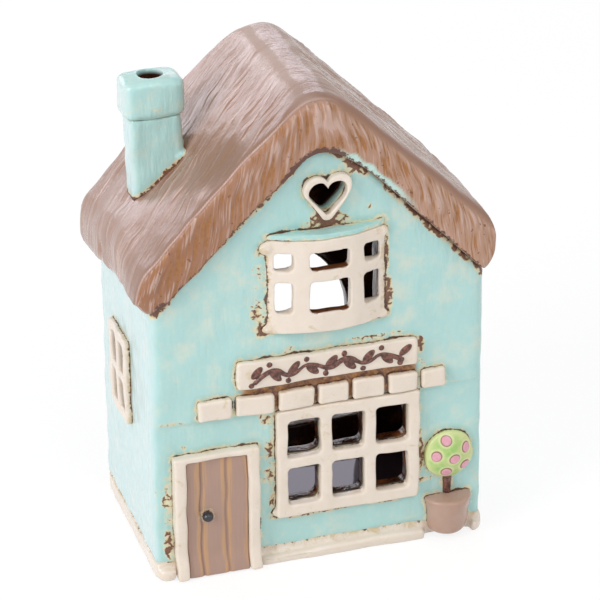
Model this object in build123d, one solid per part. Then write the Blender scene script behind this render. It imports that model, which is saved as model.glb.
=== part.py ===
"""A glazed stoneware tealight house, slab-built from separate clay pieces that are luted together.

Millimetres and degrees. +Z is up, the shop front faces -Y, and the origin is under the middle of the base.
The door, shop window and tree that stand side by side set the width of the house, and the window, brick
course, sign, bay and heart that stand one above the other set the height of its gable.
"""

from build123d import *
import os
from math import asin, atan2, cos, hypot, radians, sin, sqrt, tan

# Slab-built shell
wall_depth = 64.0
wall_thickness = 6.0
base_thickness = 5.6
corner_radius = 3.5
roof_pitch = 43.0
gable_tip_radius = 10.5
jetty_step = 0.8
skirting_proud = 2.2

# Thatched roof
thatch_thickness = 13.0
gable_overhang = 3.0
eave_overhang = 4.0
eave_drip = 0.8
ridge_radius = 11.5
eave_top_radius = 13.0
eave_bottom_radius = 6.0
thatch_edge_radius = 3.0

# Chimney with its flue
stack_width = 16.4
stack_depth = 11.0
stack_height = 18.8
stack_edge_radius = 2.5
cap_height = 11.8
cap_projection = 1.5
cap_edge_radius = 2.2
flue_diameter = 8.0
flue_wall_gap = 2.3
chimney_setback = 6.0

# Back arch that the tealight goes in through
arch_radius = 28.0
arch_sill_height = 14.0
arch_foot_half_width = 32.0
arch_spring_height = 52.3

# Door, frame and knob
door_corner_margin = 5.9
door_width = 19.6
door_height = 40.6
door_rail = 3.8
door_head = 2.0
door_frame_proud = 3.4
door_panel_proud = 2.0
door_foot_gap = 0.4
plank_joints = [0.24, 0.65]
plank_groove_width = 0.9
plank_groove_depth = 0.5
knob_radius = 1.7
knob_sink = 0.5
knob_height = 21.4
knob_edge_margin = 6.4

# Shop window
door_window_gap = 5.6
shop_columns = 3
shop_rows = 2
shop_pane_width = 10.5
shop_pane_height = 12.7
shop_bar = 3.75
shop_side_rail = 3.7
shop_top_rail = 4.1
shop_bottom_rail = 4.25
shop_frame_proud = 2.6
shop_sill_height = 16.0
pane_corner_radius = 1.2

# Topiary tree in its pot
window_tree_gap = 2.1
tree_corner_margin = 3.5
tree_height = 29.0
ball_radius = 7.9
ball_edge_height = 1.6
ball_crown_height = 3.2
flower_radius = 1.5
flower_proud = 0.4
flower_places = [(-1.7, 5.6), (4.9, 2.5), (-4.8, 0.9), (0.9, -0.4), (4.7, -3.8), (-1.3, -5.3)]
trunk_radius = 1.3
pot_top_radius = 7.6
pot_bottom_radius = 5.9
pot_height = 13.2
pot_foot_gap = 1.4
pot_rim_radius = 0.9
pot_foot_radius = 2.6

# Brick course over the shop window
window_jetty_gap = 0.3
brick_lift = 0.1
brick_height = 6.6
brick_widths = [10.8, 12.0, 11.2, 9.7, 10.2, 9.2, 7.7]
brick_joint = 1.4
brick_proud = 2.2
brick_edge_radius = 0.8
brick_offset = 0.3

# Sign board
brick_sign_gap = 2.7
sign_width = 57.4
sign_height = 9.0
sign_proud = 2.2
sign_edge_radius = 0.7

# Bowed bay window
gable_offset = 1.9
sign_bay_gap = 8.0
bay_bow = 5.0
bay_thickness = 3.2
bay_middle_pane_width = 12.5
bay_side_pane_width = 5.4
bay_mullion = 4.8
bay_end_rail = 2.75
bay_lower_pane_height = 10.1
bay_upper_pane_height = 5.7
bay_transom = 3.9
bay_top_rail = 4.2
bay_bottom_rail = 6.9
bay_lintel = 3.3
bay_hood_thickness = 1.8
bay_sill_thickness = 2.5

# Heart-shaped vent under the gable tip
hood_heart_gap = 1.65
heart_width = 15.0
heart_height = 15.8
heart_hole_width = 11.9
heart_hole_height = 11.0
heart_hole_lift = 0.4
heart_proud = 2.4
heart_tip_gap = 7.85
heart_lobe_share = 0.9
heart_hole_lobe_share = 0.97
heart_tip_radius = 2.0
heart_hole_tip_radius = 1.0

# Side windows
side_window_setback = 4.0
side_sill_height = 41.4
side_columns = 2
side_rows = 2
side_pane_width = 5.8
side_pane_height = 9.8
side_bar = 2.6
side_rail = 3.2
side_frame_proud = 1.8

frame_edge_radius = 0.7

# Widths worked out from the row of pieces along the ground floor
door_outer_width = door_width + 2 * door_rail
shop_panes_width = shop_columns * shop_pane_width + (shop_columns - 1) * shop_bar
shop_width = shop_panes_width + 2 * shop_side_rail
wall_width = (
    door_corner_margin + door_outer_width + door_window_gap + shop_width
    + window_tree_gap + 2 * ball_radius + tree_corner_margin
)
half_width = wall_width / 2
door_x = -half_width + door_corner_margin + door_outer_width / 2
shop_x = door_x + door_outer_width / 2 + door_window_gap + shop_width / 2
tree_x = half_width - tree_corner_margin - ball_radius

# Heights worked out from the stack of pieces up the front
shop_panes_height = shop_rows * shop_pane_height + (shop_rows - 1) * shop_bar
shop_height = shop_panes_height + shop_top_rail + shop_bottom_rail
jetty_height = shop_sill_height + shop_height + window_jetty_gap
brick_bottom = jetty_height + brick_lift
sign_bottom = brick_bottom + brick_height + brick_sign_gap
bay_bottom = sign_bottom + sign_height + sign_bay_gap
bay_sash_bottom = bay_bottom + bay_bottom_rail
bay_sash_height = bay_lower_pane_height + bay_transom + bay_upper_pane_height
bay_height = bay_bottom_rail + bay_sash_height + bay_top_rail
heart_bottom = bay_bottom + bay_height + bay_hood_thickness + hood_heart_gap
gable_height = heart_bottom + heart_height + heart_tip_gap

# Roof lines worked out from the gable
slope = tan(radians(roof_pitch))
sharp_gable_height = gable_height + gable_tip_radius * (1 / cos(radians(roof_pitch)) - 1)
eave_height = sharp_gable_height - half_width * slope
sharp_ridge_height = sharp_gable_height + thatch_thickness / cos(radians(roof_pitch))
eave_x = half_width + eave_overhang
inner_half_width = half_width - wall_thickness
chimney_x = -(inner_half_width - flue_wall_gap - flue_diameter / 2)
chimney_foot_height = sharp_ridge_height + chimney_x * slope
stack_top = chimney_foot_height + stack_height

# Planes that the relief stands on: local x runs to the viewer's right and local y up
upper_front = Plane.XZ.offset(wall_depth / 2)
lower_front = Plane.XZ.offset(wall_depth / 2 - jetty_step)
left_side = Plane((-half_width, 0, 0), x_dir=(0, -1, 0), z_dir=(-1, 0, 0))
right_side = Plane((half_width, 0, 0), x_dir=(0, 1, 0), z_dir=(1, 0, 0))


def rectangle(left, bottom, width, height, radius=0.0):
    """A rectangle by its lower left corner, with rounded corners if a radius is given."""
    shape = Rectangle(width, height) if radius == 0 else RectangleRounded(width, height, radius)
    return Pos(left + width / 2, bottom + height / 2) * shape


def soften_front(part, plane, radius):
    """Rounds the edges of the face that lies furthest out from a plane."""
    outermost = part.faces().filter_by(plane).sort_by(Axis(plane.origin, plane.z_dir))[-1]
    return fillet(outermost.edges(), radius)


def pane_grid(columns, rows, width, height, bar, centre_x, bottom):
    """The panes of a window, as one sketch of rounded openings."""
    left = centre_x - (columns * width + (columns - 1) * bar) / 2
    return Sketch() + [
        rectangle(left + i * (width + bar), bottom + j * (height + bar), width, height, pane_corner_radius)
        for i in range(columns)
        for j in range(rows)
    ]


shop_panes = pane_grid(
    shop_columns, shop_rows, shop_pane_width, shop_pane_height, shop_bar,
    shop_x, shop_sill_height + shop_bottom_rail,
)


def side_panes(centre):
    """The panes of a side window, about a centre measured along its wall."""
    return pane_grid(
        side_columns, side_rows, side_pane_width, side_pane_height, side_bar,
        centre, side_sill_height + side_rail,
    )


def heart(width, height, centre_height, tip_radius, lobe_share):
    """A heart: two round lobes and the two straight sides that meet them in a rounded tip."""
    lobe = width / (2 + 2 * lobe_share)
    reach = lobe_share * lobe
    point = height - lobe
    far = hypot(reach, point)
    along = lobe * lobe / far
    across = lobe * sqrt(1 - (lobe / far) ** 2)
    side_x = reach + (across * point - along * reach) / far
    side_y = -(across * reach + along * point) / far
    notch = (0, sqrt(lobe * lobe - reach * reach))
    dip = atan2(-side_y, side_x - reach) / 2
    outline = Curve() + [
        ThreePointArc(notch, (reach, lobe), (reach + lobe, 0)),
        ThreePointArc((reach + lobe, 0), (reach + lobe * cos(dip), -lobe * sin(dip)), (side_x, side_y)),
        Line((side_x, side_y), (0, -point)),
        Line((0, -point), (-side_x, side_y)),
        ThreePointArc((-side_x, side_y), (-reach - lobe * cos(dip), -lobe * sin(dip)), (-reach - lobe, 0)),
        ThreePointArc((-reach - lobe, 0), (-reach, lobe), notch),
    ]
    face = make_face(outline)
    face = fillet(face.vertices().sort_by(Axis.Y)[0], tip_radius)
    return Pos(gable_offset, centre_height + height / 2 - lobe) * face


heart_middle = heart_bottom + heart_height / 2
heart_hole = heart(
    heart_hole_width, heart_hole_height, heart_middle + heart_hole_lift,
    heart_hole_tip_radius, heart_hole_lobe_share,
)


def gable_face(bottom):
    """The outline of a gable wall from a height up to its rounded tip."""
    sharp = make_face(Polyline(
        (-half_width, bottom), (-half_width, eave_height), (0, sharp_gable_height),
        (half_width, eave_height), (half_width, bottom), close=True,
    ))
    return fillet(sharp.vertices().sort_by(Axis.Y)[-1], gable_tip_radius)


def gable_wall(face_y):
    """A plain gable slab whose rounded outer corners stand at one end of the house."""
    inward = 1 if face_y < 0 else -1
    slab = extrude(Plane.XZ.offset(-face_y) * gable_face(base_thickness), -inward * wall_thickness)
    upright_edges = slab.edges().filter_by(Axis.Z).group_by(Axis.Y)
    return fillet(upright_edges[0 if face_y < 0 else -1], corner_radius)


def base_slab():
    """The floor under the walls, with a skirting along the front, let in behind the door and the pot."""
    outline = Pos(0, -skirting_proud / 2) * RectangleRounded(
        wall_width, wall_depth + skirting_proud, corner_radius)
    rebates = [
        rectangle(door_x - door_outer_width / 2, 0, door_outer_width, base_thickness),
        rectangle(tree_x - pot_top_radius, 0, 2 * pot_top_radius, base_thickness),
    ]
    return extrude(outline, base_thickness) - extrude(
        lower_front * (Sketch() + rebates), jetty_step + skirting_proud)


def front_wall():
    """The shop front: its lower storey is set back, and its windows are cut right through."""
    lower_storey = rectangle(-half_width, base_thickness, wall_width, jetty_height - base_thickness)
    wall = gable_wall(-wall_depth / 2) - extrude(upper_front * lower_storey, -jetty_step)
    holes = shop_panes + heart_hole + bay_wall_hole()
    return wall - extrude(upper_front * holes, -wall_thickness)


def back_wall():
    """The back gable with its arch."""
    arch = make_face(Polyline(
        (-arch_foot_half_width, arch_sill_height), (arch_foot_half_width, arch_sill_height),
        (arch_radius, arch_spring_height), (-arch_radius, arch_spring_height), close=True,
    ))
    arch += Pos(0, arch_spring_height) * Circle(arch_radius)
    return gable_wall(wall_depth / 2) - extrude(Plane.XZ.offset(-wall_depth / 2) * arch, wall_thickness)


def side_wall(plane, facing):
    """A side wall between the gables, bevelled along its top to carry the thatch."""
    inner_top = eave_height + wall_thickness * slope
    section = make_face(Polyline(
        (facing * half_width, base_thickness), (facing * half_width, eave_height),
        (facing * inner_half_width, inner_top), (facing * inner_half_width, base_thickness), close=True,
    ))
    length = wall_depth - 2 * wall_thickness
    wall = extrude(Plane.XZ * section, length / 2, both=True)
    return wall - extrude(plane * side_panes(facing * side_window_setback), -wall_thickness)


def side_window(plane, facing):
    """The frame on a side wall."""
    centre = facing * side_window_setback
    width = side_columns * side_pane_width + (side_columns - 1) * side_bar + 2 * side_rail
    height = side_rows * side_pane_height + (side_rows - 1) * side_bar + 2 * side_rail
    outer = rectangle(centre - width / 2, side_sill_height, width, height, pane_corner_radius)
    frame = extrude(plane * (outer - side_panes(centre)), side_frame_proud)
    return soften_front(frame, plane, frame_edge_radius)


def thatch_roof():
    """The thatch: a thick rounded cover whose hollow takes the gables, with the flue cut through it."""
    eave_bottom = eave_height - eave_drip
    eave_top = sharp_ridge_height - eave_x * slope
    sharp = make_face(Polyline(
        (-eave_x, eave_bottom), (-eave_x, eave_top), (0, sharp_ridge_height), (eave_x, eave_top),
        (eave_x, eave_bottom), close=True,
    ))
    by_height = sharp.vertices().sort_by(Axis.Y)
    outer = fillet(by_height[-1], ridge_radius)
    outer = fillet(outer.vertices().sort_by(Axis.X)[:2].sort_by(Axis.Y)[-1:]
                   + outer.vertices().sort_by(Axis.X)[-2:].sort_by(Axis.Y)[-1:], eave_top_radius)
    lowest = outer.vertices().sort_by(Axis.Y)[:2]
    outer = fillet(lowest, eave_bottom_radius)
    length = wall_depth + 2 * gable_overhang
    roof = extrude(Plane.XZ * outer, length / 2, both=True)
    ends = roof.faces().filter_by(Axis.Y)
    roof = fillet(ends.edges(), thatch_edge_radius)
    roof -= extrude(Plane.XZ * gable_face(0), length, both=True)
    flue = Pos(chimney_x, chimney_setback, 0) * Cylinder(
        flue_diameter / 2, stack_top, align=(Align.CENTER, Align.CENTER, Align.MIN))
    return roof - flue


def chimney_stack():
    """The stack, cut to the slope of the thatch at its foot."""
    plan = RectangleRounded(stack_width, stack_depth, stack_edge_radius) - Circle(flue_diameter / 2)
    upright = extrude(Pos(chimney_x, chimney_setback) * plan, stack_top)
    below_slope = make_face(Polyline(
        (-2 * eave_x, sharp_ridge_height - 2 * eave_x * slope), (0, sharp_ridge_height), (0, -stack_top),
        (-2 * eave_x, -2 * stack_top), close=True,
    ))
    return upright - extrude(Plane.XZ * below_slope, wall_depth, both=True)


def chimney_cap():
    """The cap: a rounded block bored for the flue."""
    width = stack_width + 2 * cap_projection
    depth = stack_depth + 2 * cap_projection
    outline = RectangleRounded(width, depth, stack_edge_radius + cap_projection)
    block = extrude(Pos(chimney_x, chimney_setback, stack_top) * outline, cap_height)
    ends = block.faces().filter_by(Axis.Z)
    block = fillet(ends.edges(), cap_edge_radius)
    bore = Pos(chimney_x, chimney_setback, stack_top) * Cylinder(
        flue_diameter / 2, cap_height, align=(Align.CENTER, Align.CENTER, Align.MIN))
    return block - bore


def heart_frame():
    """The raised rim of the heart vent."""
    rim = heart(heart_width, heart_height, heart_middle, heart_tip_radius, heart_lobe_share) - heart_hole
    return extrude(upper_front * rim, heart_proud)


def bay_pane_columns():
    """The left edge and width of each column of the bay, from its middle."""
    inner = bay_middle_pane_width / 2
    side = inner + bay_mullion
    return [
        (-side - bay_side_pane_width, bay_side_pane_width),
        (-inner, bay_middle_pane_width),
        (side, bay_side_pane_width),
    ]


bay_hole_half = bay_middle_pane_width / 2 + bay_mullion + bay_side_pane_width
bay_half = bay_hole_half + bay_end_rail
bay_outer_radius = (bay_half ** 2 + bay_bow ** 2) / (2 * bay_bow)


def bay_wall_hole():
    """The one hole in the front wall behind the bay."""
    hole_height = bay_height - bay_sill_thickness - bay_lintel
    return rectangle(
        gable_offset - bay_hole_half, bay_bottom + bay_sill_thickness, 2 * bay_hole_half, hole_height)


def bay_plan(radius):
    """The part of a circle about the bay's centre that stands in front of the wall."""
    front_y = -wall_depth / 2
    centre_y = front_y - bay_bow + bay_outer_radius
    disc = Pos(gable_offset, centre_y) * Circle(radius)
    behind = Pos(gable_offset, front_y + bay_outer_radius) * Rectangle(
        4 * bay_outer_radius, 2 * bay_outer_radius)
    return disc - behind


def bay_window():
    """The bowed frame with its two rows of panes cut straight through."""
    inner = bay_plan(bay_outer_radius - bay_thickness)
    ring = extrude(Pos(0, 0, bay_bottom) * (bay_plan(bay_outer_radius) - inner), bay_height)
    upper_row = bay_sash_bottom + bay_lower_pane_height + bay_transom
    rows = [(bay_sash_bottom, bay_lower_pane_height), (upper_row, bay_upper_pane_height)]
    panes = Sketch() + [
        rectangle(gable_offset + left, bottom, width, height, pane_corner_radius)
        for left, width in bay_pane_columns()
        for bottom, height in rows
    ]
    return ring - extrude(upper_front * panes, bay_bow)


def bay_hood():
    """The little roof that closes the top of the bay."""
    return extrude(Pos(0, 0, bay_bottom + bay_height) * bay_plan(bay_outer_radius), bay_hood_thickness)


def bay_sill():
    """The floor that closes the bottom of the bay, inside its frame."""
    return extrude(Pos(0, 0, bay_bottom) * bay_plan(bay_outer_radius - bay_thickness), bay_sill_thickness)


def sign_board():
    """The plain sign over the brick course."""
    board = extrude(upper_front * rectangle(
        gable_offset - sign_width / 2, sign_bottom, sign_width, sign_height, sign_edge_radius), sign_proud)
    return soften_front(board, upper_front, sign_edge_radius)


def lintel_bricks():
    """The bricks of the course, from left to right, each cut by hand to its own width."""
    bricks = []
    left = brick_offset - (sum(brick_widths) + brick_joint * (len(brick_widths) - 1)) / 2
    for width in brick_widths:
        outline = rectangle(left, brick_bottom, width, brick_height, brick_edge_radius)
        brick = extrude(upper_front * outline, brick_proud)
        bricks.append(soften_front(brick, upper_front, brick_edge_radius))
        left += width + brick_joint
    return bricks


def shop_window():
    """The frame of the shop window."""
    left = shop_x - shop_width / 2
    outer = rectangle(left, shop_sill_height, shop_width, shop_height, pane_corner_radius)
    frame = extrude(lower_front * (outer - shop_panes), shop_frame_proud)
    return soften_front(frame, lower_front, frame_edge_radius)


door_opening = rectangle(door_x - door_width / 2, door_foot_gap, door_width, door_height - door_foot_gap)


def door_frame():
    """The door's surround, open at the foot."""
    left = door_x - door_outer_width / 2
    outer = rectangle(left, door_foot_gap, door_outer_width, door_height + door_head - door_foot_gap)
    frame = extrude(lower_front * (outer - door_opening), door_frame_proud)
    return soften_front(frame, lower_front, frame_edge_radius)


def door_panel():
    """The boarded door, scored into planks."""
    panel = extrude(lower_front * door_opening, door_panel_proud)
    first = door_x - door_width / 2 - plank_groove_width / 2
    grooves = Sketch() + [
        rectangle(first + joint * door_width, 0, plank_groove_width, 2 * door_height)
        for joint in plank_joints
    ]
    face = Plane.XZ.offset(wall_depth / 2 - jetty_step + door_panel_proud)
    return panel - extrude(face * grooves, -plank_groove_depth)


def turned(section, place):
    """A section in (radius, height) turned about its height and stood on a plane."""
    return place * revolve(Plane.XZ * make_face(section), Axis.Z)


def door_knob():
    """The round knob, pressed onto a plank."""
    face_y = -wall_depth / 2 + jetty_step - door_panel_proud
    middle = knob_radius - knob_sink
    seat = sqrt(knob_radius ** 2 - middle ** 2)
    section = Curve() + [
        Line((0, 0), (seat, 0)),
        ThreePointArc((seat, 0), (knob_radius, middle), (0, middle + knob_radius)),
        Line((0, middle + knob_radius), (0, 0)),
    ]
    place = (door_x - door_width / 2 + knob_edge_margin, face_y, knob_height)
    return turned(section, Plane(place, z_dir=(0, -1, 0)))


crown_radius = (ball_radius ** 2 + ball_crown_height ** 2) / (2 * ball_crown_height)
crown_centre = Vector(
    tree_x, -wall_depth / 2 + jetty_step - ball_edge_height - ball_crown_height + crown_radius, tree_height)


def topiary_ball():
    """The clipped ball of leaves: a thick disc with a domed face."""
    top = ball_edge_height + ball_crown_height
    half_way = ball_radius / 2
    section = Curve() + [
        Line((0, 0), (ball_radius, 0)),
        Line((ball_radius, 0), (ball_radius, ball_edge_height)),
        ThreePointArc(
            (ball_radius, ball_edge_height),
            (half_way, top - crown_radius + sqrt(crown_radius ** 2 - half_way ** 2)),
            (0, top),
        ),
        Line((0, top), (0, 0)),
    ]
    return turned(section, Plane((tree_x, -wall_depth / 2 + jetty_step, tree_height), z_dir=(0, -1, 0)))


def topiary_flowers():
    """The flowers, round drops of clay that lie on the ball's domed face."""
    outer = crown_radius + flower_proud
    edge = asin(flower_radius / crown_radius)
    half = edge / 2
    outer_edge = (outer * sin(edge), outer * cos(edge))
    inner_edge = (crown_radius * sin(edge), crown_radius * cos(edge))
    inner_half = (crown_radius * sin(half), crown_radius * cos(half))
    section = Curve() + [
        Line((0, crown_radius), (0, outer)),
        ThreePointArc((0, outer), (outer * sin(half), outer * cos(half)), outer_edge),
        Line(outer_edge, inner_edge),
        ThreePointArc(inner_edge, inner_half, (0, crown_radius)),
    ]
    drops = []
    for across, up in flower_places:
        outward = (across, -sqrt(crown_radius ** 2 - across ** 2 - up ** 2), up)
        drops.append(turned(section, Plane(crown_centre, z_dir=outward)))
    return drops


def topiary_trunk():
    """The half-round stem between the pot and the ball."""
    foot = pot_foot_gap + pot_height
    stem = Pos(tree_x, -wall_depth / 2 + jetty_step, foot) * Cylinder(
        trunk_radius, tree_height - foot, align=(Align.CENTER, Align.CENTER, Align.MIN))
    stem = split(stem, lower_front, keep=Keep.TOP)
    disc = Pos(tree_x, tree_height) * Circle(ball_radius)
    ball_edge = extrude(lower_front * disc, ball_edge_height + trunk_radius)
    return stem - ball_edge


def plant_pot():
    """The half-round tapered pot."""
    section = make_face(Polyline(
        (0, pot_foot_gap), (pot_bottom_radius, pot_foot_gap), (pot_top_radius, pot_foot_gap + pot_height),
        (0, pot_foot_gap + pot_height), close=True,
    ))
    section = fillet(section.vertices().sort_by(Axis.X)[-1], pot_rim_radius)
    section = fillet(section.vertices().group_by(Axis.Y)[0].sort_by(Axis.X)[-1], pot_foot_radius)
    half_turn = revolve(Plane.XZ * section, Axis((0, 0, 0), (0, 0, -1)), revolution_arc=180)
    return Pos(tree_x, -wall_depth / 2 + jetty_step, 0) * half_turn


def main():
    pieces = {
        "base_slab": base_slab(),
        "front_wall": front_wall(),
        "back_wall": back_wall(),
        "left_wall": side_wall(left_side, -1),
        "right_wall": side_wall(right_side, 1),
        "thatch_roof": thatch_roof(),
        "chimney_stack": chimney_stack(),
        "chimney_cap": chimney_cap(),
        "heart_frame": heart_frame(),
        "bay_window": bay_window(),
        "bay_hood": bay_hood(),
        "bay_sill": bay_sill(),
        "sign_board": sign_board(),
        "shop_window": shop_window(),
        "door_frame": door_frame(),
        "door_panel": door_panel(),
        "door_knob": door_knob(),
        "topiary_ball": topiary_ball(),
        "topiary_trunk": topiary_trunk(),
        "plant_pot": plant_pot(),
        "left_window": side_window(left_side, -1),
        "right_window": side_window(right_side, 1),
    }
    for number, brick in enumerate(lintel_bricks(), start=1):
        pieces[f"lintel_brick_{number}"] = brick
    for number, flower in enumerate(topiary_flowers(), start=1):
        pieces[f"topiary_flower_{number}"] = flower

    os.makedirs("parts", exist_ok=True)
    for name, piece in pieces.items():
        export_step(piece, f"parts/{name}.step")


main()
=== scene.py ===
"""Looks of a small slab-built stoneware cottage that shelters a tealight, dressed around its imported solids.

Sizes are written in millimetres and turned to metres by MM. The shop front faces -Y and +Z is up.
"""

import math

import bmesh
import bpy
from mathutils import Matrix, Vector, noise
from mathutils.bvhtree import BVHTree


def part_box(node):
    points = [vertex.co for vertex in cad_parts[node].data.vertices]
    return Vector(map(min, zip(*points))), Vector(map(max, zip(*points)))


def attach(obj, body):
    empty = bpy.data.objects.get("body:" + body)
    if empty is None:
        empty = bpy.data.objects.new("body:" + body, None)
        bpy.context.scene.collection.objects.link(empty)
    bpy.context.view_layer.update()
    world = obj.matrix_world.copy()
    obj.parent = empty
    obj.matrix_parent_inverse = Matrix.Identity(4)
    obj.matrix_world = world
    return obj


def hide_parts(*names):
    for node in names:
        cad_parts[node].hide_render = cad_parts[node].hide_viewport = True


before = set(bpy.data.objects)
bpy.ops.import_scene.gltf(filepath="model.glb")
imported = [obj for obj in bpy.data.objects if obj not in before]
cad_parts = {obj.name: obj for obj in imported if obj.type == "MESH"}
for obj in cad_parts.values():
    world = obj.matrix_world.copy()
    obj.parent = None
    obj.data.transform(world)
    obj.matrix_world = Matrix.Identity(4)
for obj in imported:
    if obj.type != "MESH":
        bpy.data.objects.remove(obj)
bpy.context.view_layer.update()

MM = 0.001
# The waves that hands leave are one fixed draw
noise.seed_set(11)

# Places read from the solids, in millimetres
wall_low, wall_high = (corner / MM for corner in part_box("front_wall"))
half_width = wall_high.x
front_face = wall_low.y
back_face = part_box("back_wall")[1].y / MM
thatch_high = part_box("thatch_roof")[1] / MM
bay_low, bay_high = (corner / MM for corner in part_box("bay_window"))
heart_low, heart_high = (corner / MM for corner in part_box("heart_frame"))
sign_low, sign_high = (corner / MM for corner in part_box("sign_board"))
door_low, door_high = (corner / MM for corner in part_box("door_panel"))
cap_low, cap_high = (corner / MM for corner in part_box("chimney_cap"))
brick_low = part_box("lintel_brick_2")[0] / MM
brick_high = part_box("lintel_brick_6")[1] / MM
stack_x = (cap_low.x + cap_high.x) / 2
stack_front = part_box("chimney_stack")[0].y / MM
stack_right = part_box("chimney_stack")[1].x / MM

# Slopes, steps and radii that the solids were drawn with, and the door's joints as shares of its width
roof_pitch = math.radians(43)
roof_fall = math.tan(roof_pitch)
ridge_radius = 11.5
ridge_line = thatch_high.z + ridge_radius * (1 / math.cos(roof_pitch) - 1)
jetty_height = 53.8
jetty_step = 0.8
corner_radius = 3.5
down_slope = (math.sin(roof_pitch), 0, -math.cos(roof_pitch))
flue_radius = 4.0
plank_joints = (0.24, 0.65)


def smooth(low, high, value):
    """0 below low, 1 above high and an easy curve between them."""
    share = min(1.0, max(0.0, (value - low) / (high - low)))
    return share * share * (3 - 2 * share)


# Clay: the solids' own meshes, sponged soft


def thatch_depth(point):
    """Millimetres from the straight outer slope of the thatch down to a point, square to the slope."""
    x, y, z = point / MM
    return (ridge_line - abs(x) * roof_fall - z) * math.cos(roof_pitch)


def thatch_skin(point):
    """Millimetres from the thatch's outer face down to a point, and which way is out of it there."""
    x, y, z = point / MM
    up = z - thatch_high.z + ridge_radius
    if abs(x) < up * roof_fall:
        out = Vector((x, 0, up))
        return ridge_radius - out.length, out.normalized()
    return thatch_depth(point), Vector((math.copysign(math.sin(roof_pitch), x), 0, math.cos(roof_pitch)))


def pressed(nodes, into=None, depth=0.8):
    """Some solids' meshes in one form, with their seat pressed into what carries them, as soft clay is."""
    form = bmesh.new()
    for node in nodes:
        form.from_mesh(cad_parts[node].data)
    bmesh.ops.remove_doubles(form, verts=form.verts, dist=0.001 * MM)
    if into is not None:
        along = Vector(into).normalized()
        seat = max(vertex.co.dot(along) for vertex in form.verts)
        for vertex in form.verts:
            if vertex.co.dot(along) > seat - 0.02 * MM:
                vertex.co += along * depth * MM
    return form


def sponged(form, grain, strokes=2):
    """The form again in even quads of a given grain, its corners rubbed soft with a wet sponge."""
    mesh = bpy.data.meshes.new("wet_clay")
    form.to_mesh(mesh)
    form.free()
    blank = bpy.data.objects.new("wet_clay", mesh)
    bpy.context.scene.collection.objects.link(blank)
    quads = blank.modifiers.new("even_quads", "REMESH")
    quads.mode = "VOXEL"
    quads.voxel_size = grain * MM
    evaluated = blank.evaluated_get(bpy.context.evaluated_depsgraph_get())
    even = bpy.data.meshes.new_from_object(evaluated)
    soft = bmesh.new()
    soft.from_mesh(even)
    bpy.data.objects.remove(blank)
    bpy.data.meshes.remove(mesh)
    bpy.data.meshes.remove(even)
    for stroke in range(strokes):
        bmesh.ops.smooth_vert(
            soft, verts=soft.verts, factor=0.5, use_axis_x=True, use_axis_y=True, use_axis_z=True)
    return soft


def pellet(form, centre, radii):
    """A round pellet of clay added to a form."""
    place = Matrix.Translation(Vector(centre) * MM) @ Matrix.Diagonal((*(Vector(radii) * MM), 1))
    bmesh.ops.create_icosphere(form, subdivisions=3, radius=1, matrix=place)


def bay_clay():
    """The bowed window, with the ends of its top and bottom rails rolled out past its stiles."""
    form = pressed(["bay_window"], (0, 1, 0))
    top = bay_high.z - 2.3
    foot = bay_low.z + 1.7
    pellet(form, (bay_low.x + 0.7, front_face - 0.5, top), (2.5, 1.2, 2.2))
    pellet(form, (bay_high.x - 1.2, front_face - 0.5, top + 0.6), (1.5, 1.0, 1.6))
    pellet(form, (bay_low.x + 1.2, front_face - 0.4, foot), (2.6, 0.9, 1.7))
    pellet(form, (bay_high.x - 1.5, front_face - 0.4, foot - 0.6), (2.1, 0.9, 1.7))
    return sponged(form, 0.4, 4)


def stack_clay():
    """The stack, with two lumps of luting clay squeezed out at the right of its foot."""
    form = pressed(["chimney_stack"], down_slope, 1.2)
    foot = ridge_line + stack_right * roof_fall
    pellet(form, (stack_right - 0.6, stack_front + 0.9, foot + 0.2), (2.6, 1.8, 1.5))
    pellet(form, (stack_right + 0.2, stack_front + 4.2, foot + 1.6), (1.3, 1.6, 2.6))
    return sponged(form, 0.45, 3)


def thatch_clay():
    """The roof slab, its end edges rubbed round: a little on the left slope, more on the rest."""
    left_rounding = 2.2
    right_rounding = 7.5
    form = sponged(pressed(["thatch_roof"]), 0.62, 2)
    for vertex in form.verts:
        depth, out = thatch_skin(vertex.co)
        to_right = smooth(-16, 0, vertex.co.x / MM)
        rounding = left_rounding + (right_rounding - left_rounding) * to_right
        past_end = rounding - thatch_high.y + abs(vertex.co.y / MM)
        past_top = rounding - depth
        reach = math.hypot(past_end, past_top)
        if past_end > 0 and past_top > 0 and reach > rounding:
            surplus = 1 - rounding / reach
            vertex.co.y -= math.copysign(past_end * surplus * MM, vertex.co.y)
            vertex.co -= out * past_top * surplus * MM
    return form


def shop_clay():
    """The shop window, with the left end of its bottom rail squeezed out past the stile."""
    form = pressed(["shop_window"], (0, 1, 0))
    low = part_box("shop_window")[0] / MM
    pellet(form, (low.x + 0.8, front_face + jetty_step - 0.5, low.z + 1.5), (2.1, 1.0, 1.7))
    return sponged(form, 0.4, 3)


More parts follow.
